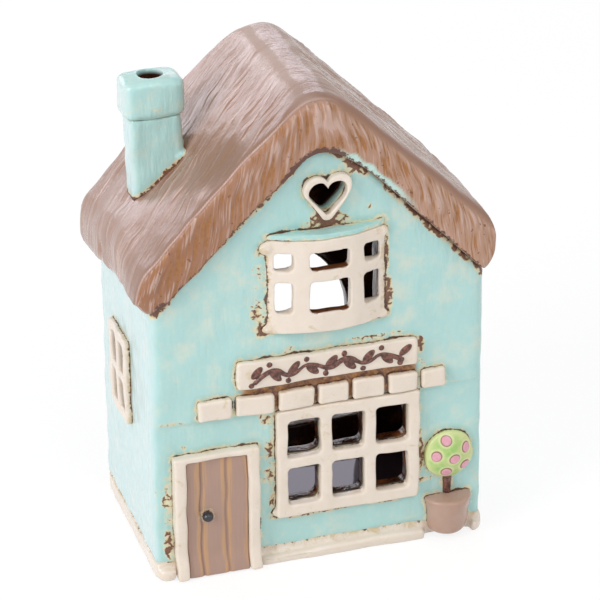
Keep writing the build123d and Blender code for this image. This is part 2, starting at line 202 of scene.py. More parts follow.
def vine_clay():
    """A trailed slip vine for the sign: one waving stem with a leaf and a berry at each bend."""
    bends = 9
    reach = sign_high.x - sign_low.x - 10
    middle = (sign_low.x + sign_high.x) / 2
    line = bpy.data.curves.new("stem", "CURVE")
    line.dimensions = "3D"
    line.bevel_depth = 0.9 * MM
    line.bevel_resolution = 3
    line.use_fill_caps = True
    stem = line.splines.new("NURBS")
    stem.points.add(bends - 1)
    form = bmesh.new()
    for bend in range(bends):
        side = 1 if bend % 2 else -1
        x = middle + reach * (bend / (bends - 1) - 0.5)
        z = (sign_low.z + sign_high.z) / 2 + side * 2.4
        stem.points[bend].co = (*(Vector((x, sign_low.y, z)) * MM), 1)
        stem.points[bend].radius = 0.8 + 0.3 * math.sin(bend * 1.7)
        lean = Matrix.Rotation(side * 0.75, 4, "Y")
        leaf = Matrix.Translation(Vector((x + 1.0, sign_low.y, z - side * 3.4)) * MM) @ lean
        leaf = leaf @ Matrix.Diagonal((2.5 * MM, 0.55 * MM, 1.25 * MM, 1))
        bmesh.ops.create_icosphere(form, subdivisions=3, radius=1, matrix=leaf)
        pellet(form, (x - 0.9, sign_low.y, z + side * 0.6), (0.95, 0.55, 0.95))
    stem.order_u = 3
    stem.use_endpoint_u = True
    trail = bpy.data.objects.new("stem", line)
    bpy.context.scene.collection.objects.link(trail)
    evaluated = trail.evaluated_get(bpy.context.evaluated_depsgraph_get())
    tube = bpy.data.meshes.new_from_object(evaluated)
    form.from_mesh(tube)
    bpy.data.objects.remove(trail)
    bpy.data.curves.remove(line)
    bpy.data.meshes.remove(tube)
    return sponged(form, 0.17, 2)


bricks = [f"lintel_brick_{number}" for number in range(1, 8)]
flowers = [f"topiary_flower_{number}" for number in range(1, 7)]
walls = ["front_wall", "back_wall", "left_wall", "right_wall"]
clay = {
    "glazed_walls": sponged(pressed(walls), 0.85, 2),
    "skirted_base": sponged(pressed(["base_slab"]), 0.75, 5),
    "combed_thatch": thatch_clay(),
    "luted_stack": stack_clay(),
    "thrown_cap": sponged(pressed(["chimney_cap"]), 0.45, 3),
    "heart_vent": sponged(pressed(["heart_frame"], (0, 1, 0)), 0.32, 3),
    "bowed_window": bay_clay(),
    "bay_roof": sponged(pressed(["bay_hood"], (0, 1, 0)), 0.4, 2),
    "bay_floor": sponged(pressed(["bay_sill"], (0, 1, 0)), 0.4, 1),
    "shop_sign": sponged(pressed(["sign_board"], (0, 1, 0)), 0.4, 2),
    "sign_vine": vine_clay(),
    "brick_course": sponged(pressed(bricks, (0, 1, 0)), 0.36, 3),
    "shop_sash": shop_clay(),
    "door_surround": sponged(pressed(["door_frame"], (0, 1, 0)), 0.4, 7),
    "boarded_door": sponged(pressed(["door_panel"], (0, 1, 0)), 0.36, 2),
    "door_pull": sponged(pressed(["door_knob"], (0, 1, 0), 0.2), 0.16, 2),
    "clipped_ball": sponged(pressed(["topiary_ball"], (0, 1, 0)), 0.34, 2),
    "ball_blossom": sponged(pressed(flowers), 0.16, 2),
    "tree_stem": sponged(pressed(["topiary_trunk"], (0, 1, 0)), 0.25, 2),
    "tree_pot": sponged(pressed(["plant_pot"], (0, 1, 0)), 0.4, 3),
    "left_casement": sponged(pressed(["left_window"], (1, 0, 0)), 0.36, 3),
    "right_casement": sponged(pressed(["right_window"], (-1, 0, 0)), 0.36, 3),
}

# Marks on the clay that the glazes read


def mark(piece, name, value_at):
    """Writes a number on every vertex of a piece."""
    layer = clay[piece].verts.layers.float.new(name)
    for vertex in clay[piece].verts:
        vertex[layer] = value_at(vertex)


def faces_of(*pieces):
    """A search tree over the faces of some pieces."""
    corners = []
    faces = []
    for piece in pieces:
        first = len(corners)
        clay[piece].verts.index_update()
        corners += [vertex.co.copy() for vertex in clay[piece].verts]
        faces += [[first + vertex.index for vertex in face.verts] for face in clay[piece].faces]
    return BVHTree.FromPolygons(corners, faces)


def gap_to(tree, far=8.0):
    """Millimetres from a vertex to the nearest face of a tree, below 0 inside it."""

    def gap(vertex):
        spot, normal, face, distance = tree.find_nearest(vertex.co, far * MM)
        if spot is None:
            return far
        return math.copysign(distance / MM, (vertex.co - spot).dot(normal))

    return gap


# Where the glaze broke on the shop front: x, z, half width, half height and how badly
thin_glaze = (
    (2.6, 115.4, 8.5, 3.0, 0.95),
    (15.2, 117.0, 1.6, 1.2, 0.8),
    (10.4, 129.6, 1.3, 2.2, 0.75),
    (-19.8, 101.0, 1.8, 8.0, 0.6),
    (-20.2, 86.0, 2.6, 7.5, 0.85),
    (-18.6, 80.0, 2.8, 2.0, 0.8),
    (21.7, 87.5, 1.9, 7.0, 0.85),
    (21.0, 102.0, 1.3, 7.0, 0.6),
    (18.0, 74.3, 12.0, 0.9, 0.75),
    (-9.5, 74.2, 2.6, 1.0, 0.75),
    (32.5, 69.0, 1.7, 3.8, 0.95),
    (33.2, 63.4, 1.7, 2.0, 0.6),
    (-17.8, 50.4, 2.4, 3.2, 0.9),
    (-16.8, 39.0, 1.9, 5.0, 0.8),
    (-16.8, 30.5, 1.9, 3.6, 0.9),
    (-16.0, 21.5, 1.6, 3.0, 0.75),
    (-4.0, 15.2, 15.0, 1.5, 0.9),
    (22.0, 15.2, 6.0, 1.3, 0.75),
    (-49.3, 12.0, 1.7, 5.5, 1.0),
    (-49.8, 27.0, 2.0, 9.0, 0.65),
    (-52.4, 28.0, 1.0, 7.0, 0.55),
    (-43.4, 45.3, 1.8, 1.0, 0.6),
    (32.4, 32.0, 1.8, 8.5, 0.9),
    (34.6, 20.3, 2.3, 1.1, 0.8),
    (-47.0, 53.9, 6.5, 1.1, 0.8),
    (47.0, 54.0, 6.5, 1.0, 0.55),
    (51.5, 20.0, 1.3, 4.0, 0.5),
)
# The same beside the side windows: y, z, half width, half height and how badly
thin_side_glaze = (
    (13.6, 54.0, 1.6, 8.0, 0.6),
    (-5.0, 54.0, 1.8, 10.0, 0.85),
    (4.0, 66.5, 7.0, 1.2, 0.4),
)
# The same along the joint under the thatch: x, half width, how far below the joint and how badly
thin_gable_glaze = (
    (2.0, 6.0, 2.4, 0.85),
    (10.5, 4.5, 3.4, 1.0),
    (23.0, 3.0, 3.0, 0.8),
    (33.5, 7.5, 3.0, 1.0),
    (44.5, 3.6, 3.2, 0.85),
    (51.0, 2.4, 3.2, 0.9),
    (-10.0, 4.0, 1.8, 0.7),
    (-17.0, 4.0, 2.4, 0.75),
    (-27.0, 6.0, 1.6, 0.6),
    (-38.0, 6.0, 1.9, 0.65),
    (-49.0, 5.0, 3.0, 0.9),
)
# How deep the thatch's lower edge lies under its outer slope
hem_depth = 13.0


def broken_glaze(vertex):
    """How badly the glaze broke at a vertex of the walls."""
    x, y, z = vertex.co / MM
    worst = 0.0
    if y < front_face + 2:
        spots = thin_glaze
        across = x
        below = max(0.0, thatch_depth(vertex.co) - hem_depth)
        for middle, half_across, reach, badly in thin_gable_glaze:
            beside = 1 - smooth(0.45, 1.25, abs(x - middle) / half_across)
            worst = max(worst, badly * beside * (1 - smooth(0.35, 1.1, below / reach)))
    elif abs(x) > half_width - 2:
        spots = thin_side_glaze
        across = y
    else:
        return 0.0
    for middle, height, half_across, half_up, badly in spots:
        reach = math.hypot((across - middle) / half_across, (z - height) / half_up)
        worst = max(worst, badly * (1 - smooth(0.45, 1.25, reach)))
    return worst


def iron_mortar(vertex):
    """1 on the walls under the sign and between the bricks there, where iron slip fills the joints."""
    x, y, z = vertex.co / MM
    along = smooth(brick_low.x + 1, brick_low.x + 4, x) * (1 - smooth(brick_high.x - 1, brick_high.x + 1, x))
    up = smooth(brick_low.z - 0.4, brick_low.z + 0.4, z) * (1 - smooth(sign_low.z, sign_low.z + 0.8, z))
    return along * up * (1 - smooth(1, 2, y - front_face))


def behind_face(vertex):
    """1 on the walls' room side and in the openings through them, 0 on their outside."""
    x, y, z = vertex.co / MM
    depth = min(half_width - abs(x), back_face - abs(y))
    past_x = abs(x) - half_width + corner_radius
    past_y = abs(y) - back_face + corner_radius
    if past_x > 0 and past_y > 0:
        depth = corner_radius - math.hypot(past_x, past_y)
    if y < 0 and z < jetty_height:
        depth -= jetty_step
    in_heart = abs(x - (heart_low.x + heart_high.x) / 2) < 9 and heart_low.z < z < heart_high.z
    start = 3.2 if in_heart else 0.5
    return smooth(start, start + 0.7, depth)


raised = [
    "heart_vent", "bowed_window", "bay_roof", "shop_sign", "brick_course", "shop_sash", "door_surround",
    "clipped_ball", "tree_stem", "tree_pot", "left_casement", "right_casement"]
wall_faces = faces_of("glazed_walls")
raised_gap = gap_to(faces_of("combed_thatch", *raised))
mark("glazed_walls", "rim", lambda vertex: min(raised_gap(vertex), vertex.co.z / MM - wall_low.z + 0.15))
mark("glazed_walls", "wear", broken_glaze)
mark("glazed_walls", "inside", behind_face)
mark("glazed_walls", "mortar", iron_mortar)
# The hood's rim is also read against the bay under it: deeper teal there is pooled glaze and partly painted
# shade under the hood
hood_neighbours = faces_of("glazed_walls", "bowed_window")
for raised_piece in raised:
    neighbours = hood_neighbours if raised_piece == "bay_roof" else wall_faces
    mark(raised_piece, "rim", gap_to(neighbours))
mark("skirted_base", "rim", gap_to(wall_faces))
mark("luted_stack", "rim", gap_to(faces_of("combed_thatch")))
mark("thrown_cap", "rim", gap_to(faces_of("luted_stack")))


def stack_foot(vertex):
    """How badly the glaze broke round the foot of the stack, most in the middle of its front."""
    rim = vertex[clay["luted_stack"].verts.layers.float["rim"]]
    middle = math.exp(-((vertex.co.x / MM - stack_x - 2) / 4) ** 2)
    return (0.35 + 0.5 * middle) * (1 - smooth(0.3, 1.4 + 1.2 * middle, rim))


def cap_band(vertex):
    """How thin the glaze was wiped round the cap's lower half."""
    return 0.45 * (1 - smooth(0.3, 1.0, abs(vertex.co.z / MM - cap_low.z - 4) / 3))


mark("luted_stack", "wear", stack_foot)
mark("thrown_cap", "wear", cap_band)
mark("boarded_door", "rim", gap_to(faces_of("door_surround")))
mark("boarded_door", "pull", gap_to(faces_of("door_pull")))
mark("ball_blossom", "rim", gap_to(faces_of("clipped_ball")))
mark("clipped_ball", "blossom", gap_to(faces_of("ball_blossom")))


def on_room_floor(vertex):
    """1 on the floor of the room, 0 on the skirting outside the walls."""
    x, y, z = vertex.co / MM
    return smooth(4.5, 5.2, z) * smooth(4.5, 5.2, half_width - abs(x)) * smooth(4.5, 5.2, back_face - abs(y))


mark("skirted_base", "inside", on_room_floor)


def in_pane(vertex):
    """1 on the lower sides of the bay's middle panes, where iron slip pooled."""
    x, y, z = vertex.co / MM
    along = (x - bay_low.x) / (bay_high.x - bay_low.x)
    in_middle = smooth(0.3, 0.36, along) * (1 - smooth(0.7, 0.76, along))
    in_frame = smooth(2.5, 3.5, z - bay_low.z) * smooth(2.5, 3.5, bay_high.z - z)
    return in_middle * in_frame * smooth(0.55, 0.8, vertex.normal.z)


clay["bowed_window"].normal_update()
mark("bowed_window", "slip", in_pane)


def in_flue(vertex):
    """1 down the flue, 0 on the chimney's outside."""
    middle = (cap_low + cap_high) / 2
    x, y, z = vertex.co / MM - middle
    within = 1 - smooth(flue_radius, flue_radius + 0.5, math.hypot(x, y))
    return within * smooth(0.3, 1.4, cap_high.z - middle.z - 0.3 - z)


mark("thrown_cap", "inside", in_flue)
mark("luted_stack", "inside", in_flue)


def plank_joint(vertex):
    """Millimetres from a vertex of the door to its nearest joint between planks or right edge."""
    width = door_high.x - door_low.x
    along = vertex.co.x / MM - door_low.x
    return min(abs(along - joint * width) for joint in (*plank_joints, 1.03))


mark("boarded_door", "joint", plank_joint)


def on_gable(vertex):
    """1 on the thatch's cut ends, 0 on its slopes."""
    return smooth(0.45, 0.8, abs(vertex.normal.y))


def under_thatch(vertex):
    """1 on the thatch's hidden underside."""
    x, y, z = vertex.co / MM
    in_walls = smooth(2.5, 3.5, half_width - abs(x)) * smooth(2.0, 3.0, 32 - abs(y))
    return smooth(9.0, 11.0, thatch_depth(vertex.co)) * in_walls


def straw_lay(vertex):
    """A vertex's place in the combed straw: millimetres across the strokes and along them, and which face."""
    x, y, z = vertex.co / MM
    drift = noise.noise(Vector((x, y, z)) / 14) * 2.4 + noise.noise(Vector((x, y, z)) / 5) * 0.6
    if on_gable(vertex) > 0.5:
        fan = math.tanh(x / 12) * math.tan(math.radians(12))
        return Vector((x + fan * (z - ridge_line) + 0.6 * drift, z, math.copysign(8.3, y)))
    slant = 0.45 * math.hypot(x, 6)
    return Vector((y + slant + drift, x / math.cos(roof_pitch), 31.7))


def stroke_strength(vertex):
    """How hard the comb was pressed: hard on the slopes, lightly over the ridge and in front right of it."""
    x, y, z = vertex.co / MM
    on_slope = max(smooth(3, 14, -x), smooth(3, 14, x) * smooth(-30, -10, y))
    return max(on_gable(vertex), 0.25 + 0.75 * on_slope)


def furrows(lay, spacing, length):
    """Combed furrows a spacing apart and a length long, from -1 in a furrow to 1 on a ridge."""
    wave = noise.noise(Vector((2 * lay.x / spacing, lay.y / length, lay.z)))
    return max(-1.0, min(1.0, 2.3 * wave))


def straw(vertex):
    """How far the comb left the thatch standing at a vertex, from -1 in a furrow to 1 on a ridge."""
    x, y, z = vertex.co / MM
    on_end = on_gable(vertex)
    lay = straw_lay(vertex)
    if on_end > 0.5:
        strokes = 0.5 * furrows(lay, 2.8, 9) + 0.55 * furrows(lay, 1.8, 6)
        strokes *= 1 - 0.7 * smooth(7.5, 10.5, thatch_depth(vertex.co))
        return strokes * smooth(1.6, 3.2, thatch_depth(vertex.co)) * (2 * on_end - 1)
    strokes = 0.6 * furrows(lay, 2.4, 22) + 0.4 * furrows(lay, 1.5, 12)
    strokes *= 0.5 + 0.7 * smooth(-0.35, 0.4, noise.noise(Vector((y / 9, lay.y / 13, lay.z))))
    strokes *= (1 - 2 * on_end) * smooth(0.6, 6.0, thatch_high.y - abs(y)) * stroke_strength(vertex)
    knot_y = 9.5
    knot_z = 98
    knot = math.exp(-((y - knot_y) / 1.9) ** 2 - ((z - knot_z) / 3.6) ** 2) * smooth(48, 54, -x)
    return strokes * (1 - knot) - 2.6 * knot


def chipped(vertex):
    """How badly the glaze chipped on the thatch's ends: at the left corner and along the gable's tip."""
    x, y, z = vertex.co / MM
    corner = 1 - smooth(0.5, 1.2, math.hypot((x + 49.5) / 2.6, (z - 96.0) / 2.4))
    tip = 1 - smooth(7.0, 12.0, abs(x + 2.5))
    return max(corner, tip) * on_gable(vertex)


def overrun(vertex):
    """1 on the thatch's front hem right of the tip, where the wall's glaze ran over it."""
    x, y, z = vertex.co / MM
    along = smooth(4, 9, x) * (1 - smooth(22, 32, x))
    rim = vertex[clay["combed_thatch"].verts.layers.float["rim"]]
    ragged = 0.9 * noise.noise(Vector((x, 0, z)) / 3)
    return along * smooth(0.5, 0.9, -vertex.normal.y) * (1 - smooth(1.5, 2.3, rim + ragged))


def thatch_joint():
    """Millimetres from a vertex of the thatch to the walls, and on its cut ends to the gable under it."""
    to_walls = faces_of("glazed_walls")
    to_neighbour = gap_to(to_walls)

    def gap(vertex):
        if on_gable(vertex) < 0.5:
            return to_neighbour(vertex)
        level = vertex.co.copy()
        level.y = math.copysign(back_face - 1, level.y) * MM
        spot, normal, face, distance = to_walls.find_nearest(level, 8 * MM)
        return 8.0 if spot is None else distance / MM

    return gap


clay["combed_thatch"].normal_update()
mark("combed_thatch", "gable", on_gable)
mark("combed_thatch", "inside", under_thatch)
mark("combed_thatch", "comb", straw)
mark("combed_thatch", "wear", chipped)
mark("combed_thatch", "rim", thatch_joint())
mark("combed_thatch", "overrun", overrun)
mark("combed_thatch", "pressed", stroke_strength)
lay_layer = clay["combed_thatch"].verts.layers.float_vector.new("lay")
for vertex in clay["combed_thatch"].verts:
    vertex[lay_layer] = straw_lay(vertex) * MM


# Hand work: what moves the clay away from the straight solids


def hand_waves(point):
    """How far the hands left a point off true: a slow wave and a quick one, none under the foot."""
    slow = noise.noise_vector(point / (27 * MM)) * 0.25 * MM
    quick = noise.noise_vector(point / (7 * MM) + Vector((5, 3, 9))) * 0.4 * MM
    move = slow + quick
    move.z *= min(1.0, point.z / (4 * MM))
    return move


def thatch_sag(point):
    """How far the roof slab sagged: low back eaves, thin front ones, full left slope, short right eave."""
    x, y, z = point / MM
    top = 1 - smooth(3, 11, thatch_depth(point))
    front_end = smooth(0, 34, -y)
    back_end = smooth(-10, 34, y)
    left_eave = smooth(34, 57, -x)
    right_eave = smooth(34, 57, x)
    crown = smooth(4, 20, -x) * (1 - smooth(22, 42, -x))
    move = Vector((-1.2, 0, -4.6)) * left_eave * back_end
    move += Vector((-0.3, 0, -2.6)) * smooth(38, 54, -x) * front_end * top
    move += Vector((-0.7, 0, 2.6)) * smooth(48, 56, -x) * front_end * (1 - top)
    move += Vector((-1.1, 0, 0.9)) * right_eave
    move += Vector((-0.4, 0, 1.2)) * smooth(48, 56, x) * front_end * (1 - top)
    move += Vector((0, 0, -1.9)) * smooth(16, 50, x) * back_end
    move += Vector((-0.5, 0, 0.6)) * crown
    return move * MM


def stack_seat(point):
    """How far the roof gave way under the stack, which followed it down."""
    x, y, z = point / MM
    near = math.exp(-((x - stack_x - 3) / 9) ** 2 - ((y - stack_front - 1) / 7) ** 2)
    depth = thatch_depth(point)
    return Vector((0.3, -0.5, -2.4)) * near * smooth(-9, -1, depth) * (1 - smooth(2, 10, depth)) * MM


def gable_line(point):
    """How far the joint of gable and thatch strays: low on the left, high right of the tip, then low."""
    x, y, z = point / MM
    below = thatch_depth(point)
    near = smooth(3, 12, below) * (1 - smooth(16, 24, below))
    high = 1.7 * smooth(3, 13, x) * (1 - smooth(20, 36, x))
    low = 1.4 * smooth(0, 10, -x) + 1.8 * smooth(36, 53, x)
    return Vector((0, 0, high - low)) * near * MM


def cap_crown(point):
    """How far the top of the cap swells towards its middle."""
    x, y, z = point / MM
    middle = (cap_low + cap_high) / 2
    half = (cap_high - cap_low) / 2
    reach = math.hypot((x - middle.x) / half.x, (y - middle.y) / half.y)
    return Vector((0, 0, 1.1)) * (1 - smooth(0.2, 1.1, reach)) * smooth(-5, 0, z - cap_high.z) * MM


def foot_drop(point):
    """Millimetres the line between wall and skirting dips along the front, most beside the door."""
    x, y, z = point / MM
    return (1.5 + 1.1 * math.exp(-((x + 14) / 13) ** 2)) * smooth(22, 33, -y)


def skirting_edge(point):
    """How far the top of the skirting was rubbed down in front of the walls."""
    x, y, z = point / MM
    in_front = smooth(0.1, 0.8, front_face + jetty_step - y)
    return Vector((0, 0, -foot_drop(point) - 0.3)) * in_front * smooth(2.0, 5, z) * MM


def wall_foot(point):
    """How far the foot of the front wall reaches down behind the skirting."""
    x, y, z = point / MM
    outside = 1 - smooth(1.0, 2.5, y - front_face - jetty_step)
    return Vector((0, 0, -foot_drop(point))) * outside * (1 - smooth(6.2, 9, z)) * MM


def door_foot(point):
    """How far the foot of the door was pushed forward."""
    return Vector((0, -1.8, 0)) * (1 - smooth(0, 9, point.z / MM)) * MM


def combed(piece):
    """Raises and furrows the thatch by the marks of the comb."""
    form = clay[piece]
    comb = form.verts.layers.float["comb"]
    gable = form.verts.layers.float["gable"]
    inside = form.verts.layers.float["inside"]
    form.normal_update()
    for vertex in form.verts:
        depth = (0.22 + 0.23 * vertex[gable]) * (1 - vertex[inside])
        vertex.co += vertex.normal * vertex[comb] * depth * MM


for vertex in clay["combed_thatch"].verts:
    vertex.co += thatch_sag(vertex.co) + stack_seat(vertex.co)
combed("combed_thatch")
for vertex in clay["luted_stack"].verts:
    vertex.co += stack_seat(vertex.co)
for vertex in clay["thrown_cap"].verts:
    vertex.co += cap_crown(vertex.co)
for vertex in clay["skirted_base"].verts:
    vertex.co += skirting_edge(vertex.co)
for vertex in clay["glazed_walls"].verts:
    vertex.co += wall_foot(vertex.co)
for door_piece in ("door_surround", "boarded_door"):
    for vertex in clay[door_piece].verts:
        vertex.co += door_foot(vertex.co)
floor_share = clay["skirted_base"].verts.layers.float["inside"]
for piece, form in clay.items():
    for vertex in form.verts:
        loose = 1 - vertex[floor_share] if piece == "skirted_base" else 1
        vertex.co += gable_line(vertex.co) + hand_waves(vertex.co) * loose


# Glazes


def linear(code):
    """A colour written as an sRGB hex code, as linear light."""
    parts = [int(code[place:place + 2], 16) / 255 for place in (1, 3, 5)]
    return [part / 12.92 if part <= 0.04045 else ((part + 0.055) / 1.055) ** 2.4 for part in parts] + [1.0]


def add(finish, kind, links, out=0, **settings):
    """Adds a node with its settings, gives its inputs values or links, and returns one of its outputs."""
    node = finish.node_tree.nodes.new(kind)
    for name, value in settings.items():
        setattr(node, name, value)
    for name, value in links.items():
        if isinstance(value, bpy.types.NodeSocket):
            finish.node_tree.links.new(value, node.inputs[name])
        else:
            node.inputs[name].default_value = value
    return node.outputs[out]


def fire(finish, colour, roughness, relief, height):
    """Links a glaze's colour, its gloss and its relief of a height in millimetres to its shader."""
    shader = finish.node_tree.nodes["Principled BSDF"]
    shader.inputs["IOR"].default_value = 1.5
    normal = add(finish, "ShaderNodeBump", {"Height": relief, "Distance": height * MM})
    finish.node_tree.links.new(colour, shader.inputs["Base Color"])
    finish.node_tree.links.new(normal, shader.inputs["Normal"])
    if isinstance(roughness, float):
        shader.inputs["Roughness"].default_value = roughness
    else:
        finish.node_tree.links.new(roughness, shader.inputs["Roughness"])


def new_glaze(name, *marks):
    """An empty glaze, the piece's own place that its patterns are read from, and the marks that it reads."""
    finish = bpy.data.materials.new(name)
    finish.use_nodes = True
    place = add(finish, "ShaderNodeTexCoord", {}, "Object")
    read = [add(finish, "ShaderNodeAttribute", {}, "Fac", attribute_name=written) for written in marks]
    return finish, place, *read


def turquoise_glaze():
    """Tin-white stoneware glaze stained turquoise, brushed on thick.

    It pools blue, thins to cream-green over high clay, and breaks to rusty iron slip beside the raised work.
    """
    finish, place, rim, wear, inside, mortar = new_glaze(
        "turquoise_stoneware_glaze", "rim", "wear", "inside", "mortar")
    # Clouds of about 9 mm where the glaze is thin, and 2.2 mm flecks
    clouds = add(finish, "ShaderNodeTexNoise", {
        "Vector": place, "Scale": 1 / (9 * MM), "Detail": 5.0, "Roughness": 0.62})
    flecks = add(finish, "ShaderNodeTexNoise", {
        "Vector": place, "Scale": 1 / (2.2 * MM), "Detail": 3.0, "Roughness": 0.6})
    thin = add(finish, "ShaderNodeMapRange", {
        "Value": clouds, "From Min": 0.46, "From Max": 0.76}, interpolation_type="SMOOTHSTEP")
    colour = add(finish, "ShaderNodeMix", {
        "Factor": thin, 6: linear("#b2dad7"), 7: linear("#cfded2")}, 2, data_type="RGBA")
    # Painted light: the sides that face -X, towards the left softbox, are mixed paler and whiter
    facing_out = add(finish, "ShaderNodeNewGeometry", {}, "Normal")
    facing_x = add(finish, "ShaderNodeSeparateXYZ", {"Vector": facing_out}, "X")
    painted_left_light = add(finish, "ShaderNodeMapRange", {
        "Value": facing_x, "From Min": -0.95, "From Max": -0.35, "To Min": 0.5, "To Max": 0.0})
    colour = add(finish, "ShaderNodeMix", {
        "Factor": painted_left_light, 6: colour, 7: linear("#dbe7ec")}, 2, data_type="RGBA")
    fleck = add(finish, "ShaderNodeMapRange", {
        "Value": flecks, "From Min": 0.5, "From Max": 0.8, "To Max": 0.3}, interpolation_type="SMOOTHSTEP")
    colour = add(finish, "ShaderNodeMix", {
        "Factor": fleck, 6: colour, 7: linear("#dce1ca")}, 2, data_type="RGBA")
    # Deeper where it pooled within 2 mm of raised work
    pooled = add(finish, "ShaderNodeMapRange", {
        "Value": rim, "From Min": 0.5, "From Max": 2.4, "To Min": 0.6, "To Max": 0.0})
    colour = add(finish, "ShaderNodeMix", {
        "Factor": pooled, 6: colour, 7: linear("#9ccdc9")}, 2, data_type="RGBA")
    # Ragged breaks of about 2.3 mm
    ragged = add(finish, "ShaderNodeTexNoise", {
        "Vector": place, "Scale": 1 / (2.3 * MM), "Detail": 6.0, "Roughness": 0.72, "Distortion": 0.6})
    near = add(finish, "ShaderNodeMapRange", {
        "Value": rim, "From Min": 0.0, "From Max": 3.0, "To Min": 0.15, "To Max": -0.09})
    near_wear = add(finish, "ShaderNodeMath", {0: wear, 1: 0.38, 2: near}, operation="MULTIPLY_ADD")
    breaking = add(finish, "ShaderNodeMath", {0: ragged, 1: near_wear}, operation="ADD")
    bared = add(finish, "ShaderNodeMapRange", {
        "Value": rim, "From Min": 0.2, "From Max": 1.7, "To Min": 0.13, "To Max": 0.0})
    thinning = add(finish, "ShaderNodeMath", {0: breaking, 1: bared}, operation="ADD")
    halo = add(finish, "ShaderNodeMapRange", {
        "Value": thinning, "From Min": 0.58, "From Max": 0.78, "To Max": 0.9},
        interpolation_type="SMOOTHSTEP")
    colour = add(finish, "ShaderNodeMix", {
        "Factor": halo, 6: colour, 7: linear("#e4dbb9")}, 2, data_type="RGBA")
    # Breaks that net round scales of 2.6 mm, from hair cracks to bare iron slip as the glaze thins
    warp = add(finish, "ShaderNodeTexNoise", {"Vector": place, "Scale": 1 / (3 * MM), "Detail": 3.0}, "Color")
    bent = add(finish, "ShaderNodeVectorMath", {
        0: warp, 1: (3.0 * MM, 3.0 * MM, 3.0 * MM), 2: place}, operation="MULTIPLY_ADD")
    scales = add(finish, "ShaderNodeTexVoronoi", {
        "Vector": bent, "Scale": 1 / (2.6 * MM)}, "Distance", feature="DISTANCE_TO_EDGE")
    opening = add(finish, "ShaderNodeMapRange", {
        "Value": breaking, "From Min": 0.7, "From Max": 1.0, "To Min": -0.03, "To Max": 0.3})
    to_break = add(finish, "ShaderNodeMath", {0: scales, 1: opening}, operation="SUBTRACT")
    thinnest = add(finish, "ShaderNodeMapRange", {
        "Value": breaking, "From Min": 0.68, "From Max": 0.8, "To Max": 0.85},
        interpolation_type="SMOOTHSTEP")
    beside = add(finish, "ShaderNodeMapRange", {
        "Value": to_break, "From Min": 0.02, "From Max": 0.16, "To Min": 1.0, "To Max": 0.1})
    tan = add(finish, "ShaderNodeMath", {0: beside, 1: thinnest}, operation="MULTIPLY")
    colour = add(finish, "ShaderNodeMix", {
        "Factor": tan, 6: colour, 7: linear("#c9a26c")}, 2, data_type="RGBA")
    rust = add(finish, "ShaderNodeMapRange", {
        "Value": to_break, "From Min": -0.02, "From Max": 0.03, "To Min": 1.0, "To Max": 0.0})
    iron = add(finish, "ShaderNodeMix", {
        "Factor": flecks, 6: linear("#4a2c22"), 7: linear("#9a6e58")}, 2, data_type="RGBA")
    colour = add(finish, "ShaderNodeMix", {"Factor": rust, 6: colour, 7: iron}, 2, data_type="RGBA")
    # Iron slip left as mortar under the sign, amber where it is thin
    amber = add(finish, "ShaderNodeMapRange", {"Value": ragged, "From Min": 0.4, "From Max": 0.62})
    pointing = add(finish, "ShaderNodeMix", {
        "Factor": amber, 6: linear("#6e4637"), 7: linear("#b3814e")}, 2, data_type="RGBA")
    colour = add(finish, "ShaderNodeMix", {"Factor": mortar, 6: colour, 7: pointing}, 2, data_type="RGBA")
    # A dark line of a third of a millimetre in the joint round each raised piece, broken every 6 mm or so
    breaks = add(finish, "ShaderNodeTexNoise", {"Vector": place, "Scale": 1 / (6 * MM), "Detail": 1.0})
    ragged_rim = add(finish, "ShaderNodeMath", {0: flecks, 1: -2.0, 2: rim}, operation="MULTIPLY_ADD")
    broken_rim = add(finish, "ShaderNodeMath", {0: breaks, 1: -2.6, 2: ragged_rim}, operation="MULTIPLY_ADD")
    joint = add(finish, "ShaderNodeMapRange", {
        "Value": broken_rim, "From Min": -2.35, "From Max": -2.1, "To Min": 0.95, "To Max": 0.0})
    colour = add(finish, "ShaderNodeMix", {
        "Factor": joint, 6: colour, 7: linear("#5a3b2e")}, 2, data_type="RGBA")
    slip = add(finish, "ShaderNodeMix", {
        "Factor": thin, 6: linear("#3a1d10"), 7: linear("#8a4f26")}, 2, data_type="RGBA")
    colour = add(finish, "ShaderNodeMix", {"Factor": inside, 6: colour, 7: slip}, 2, data_type="RGBA")
    # Slanting brush marks 1.1 mm apart and 7 mm long, and the breaks a fifth of a millimetre deep
    slant = add(finish, "ShaderNodeMapping", {
        "Vector": place, "Rotation": (math.radians(38), 0, 0),
        "Scale": (1 / (1.6 * MM), 1 / (1.1 * MM), 1 / (7 * MM))})
    brushed = add(finish, "ShaderNodeTexNoise", {"Vector": slant, "Scale": 1.0, "Detail": 2.0})
    relief = add(finish, "ShaderNodeMath", {0: rust, 1: -0.7, 2: brushed}, operation="MULTIPLY_ADD")
    rough = add(finish, "ShaderNodeMapRange", {"Value": rust, "To Min": 0.2, "To Max": 0.5})
    fire(finish, colour, rough, relief, 0.22)
    return finish


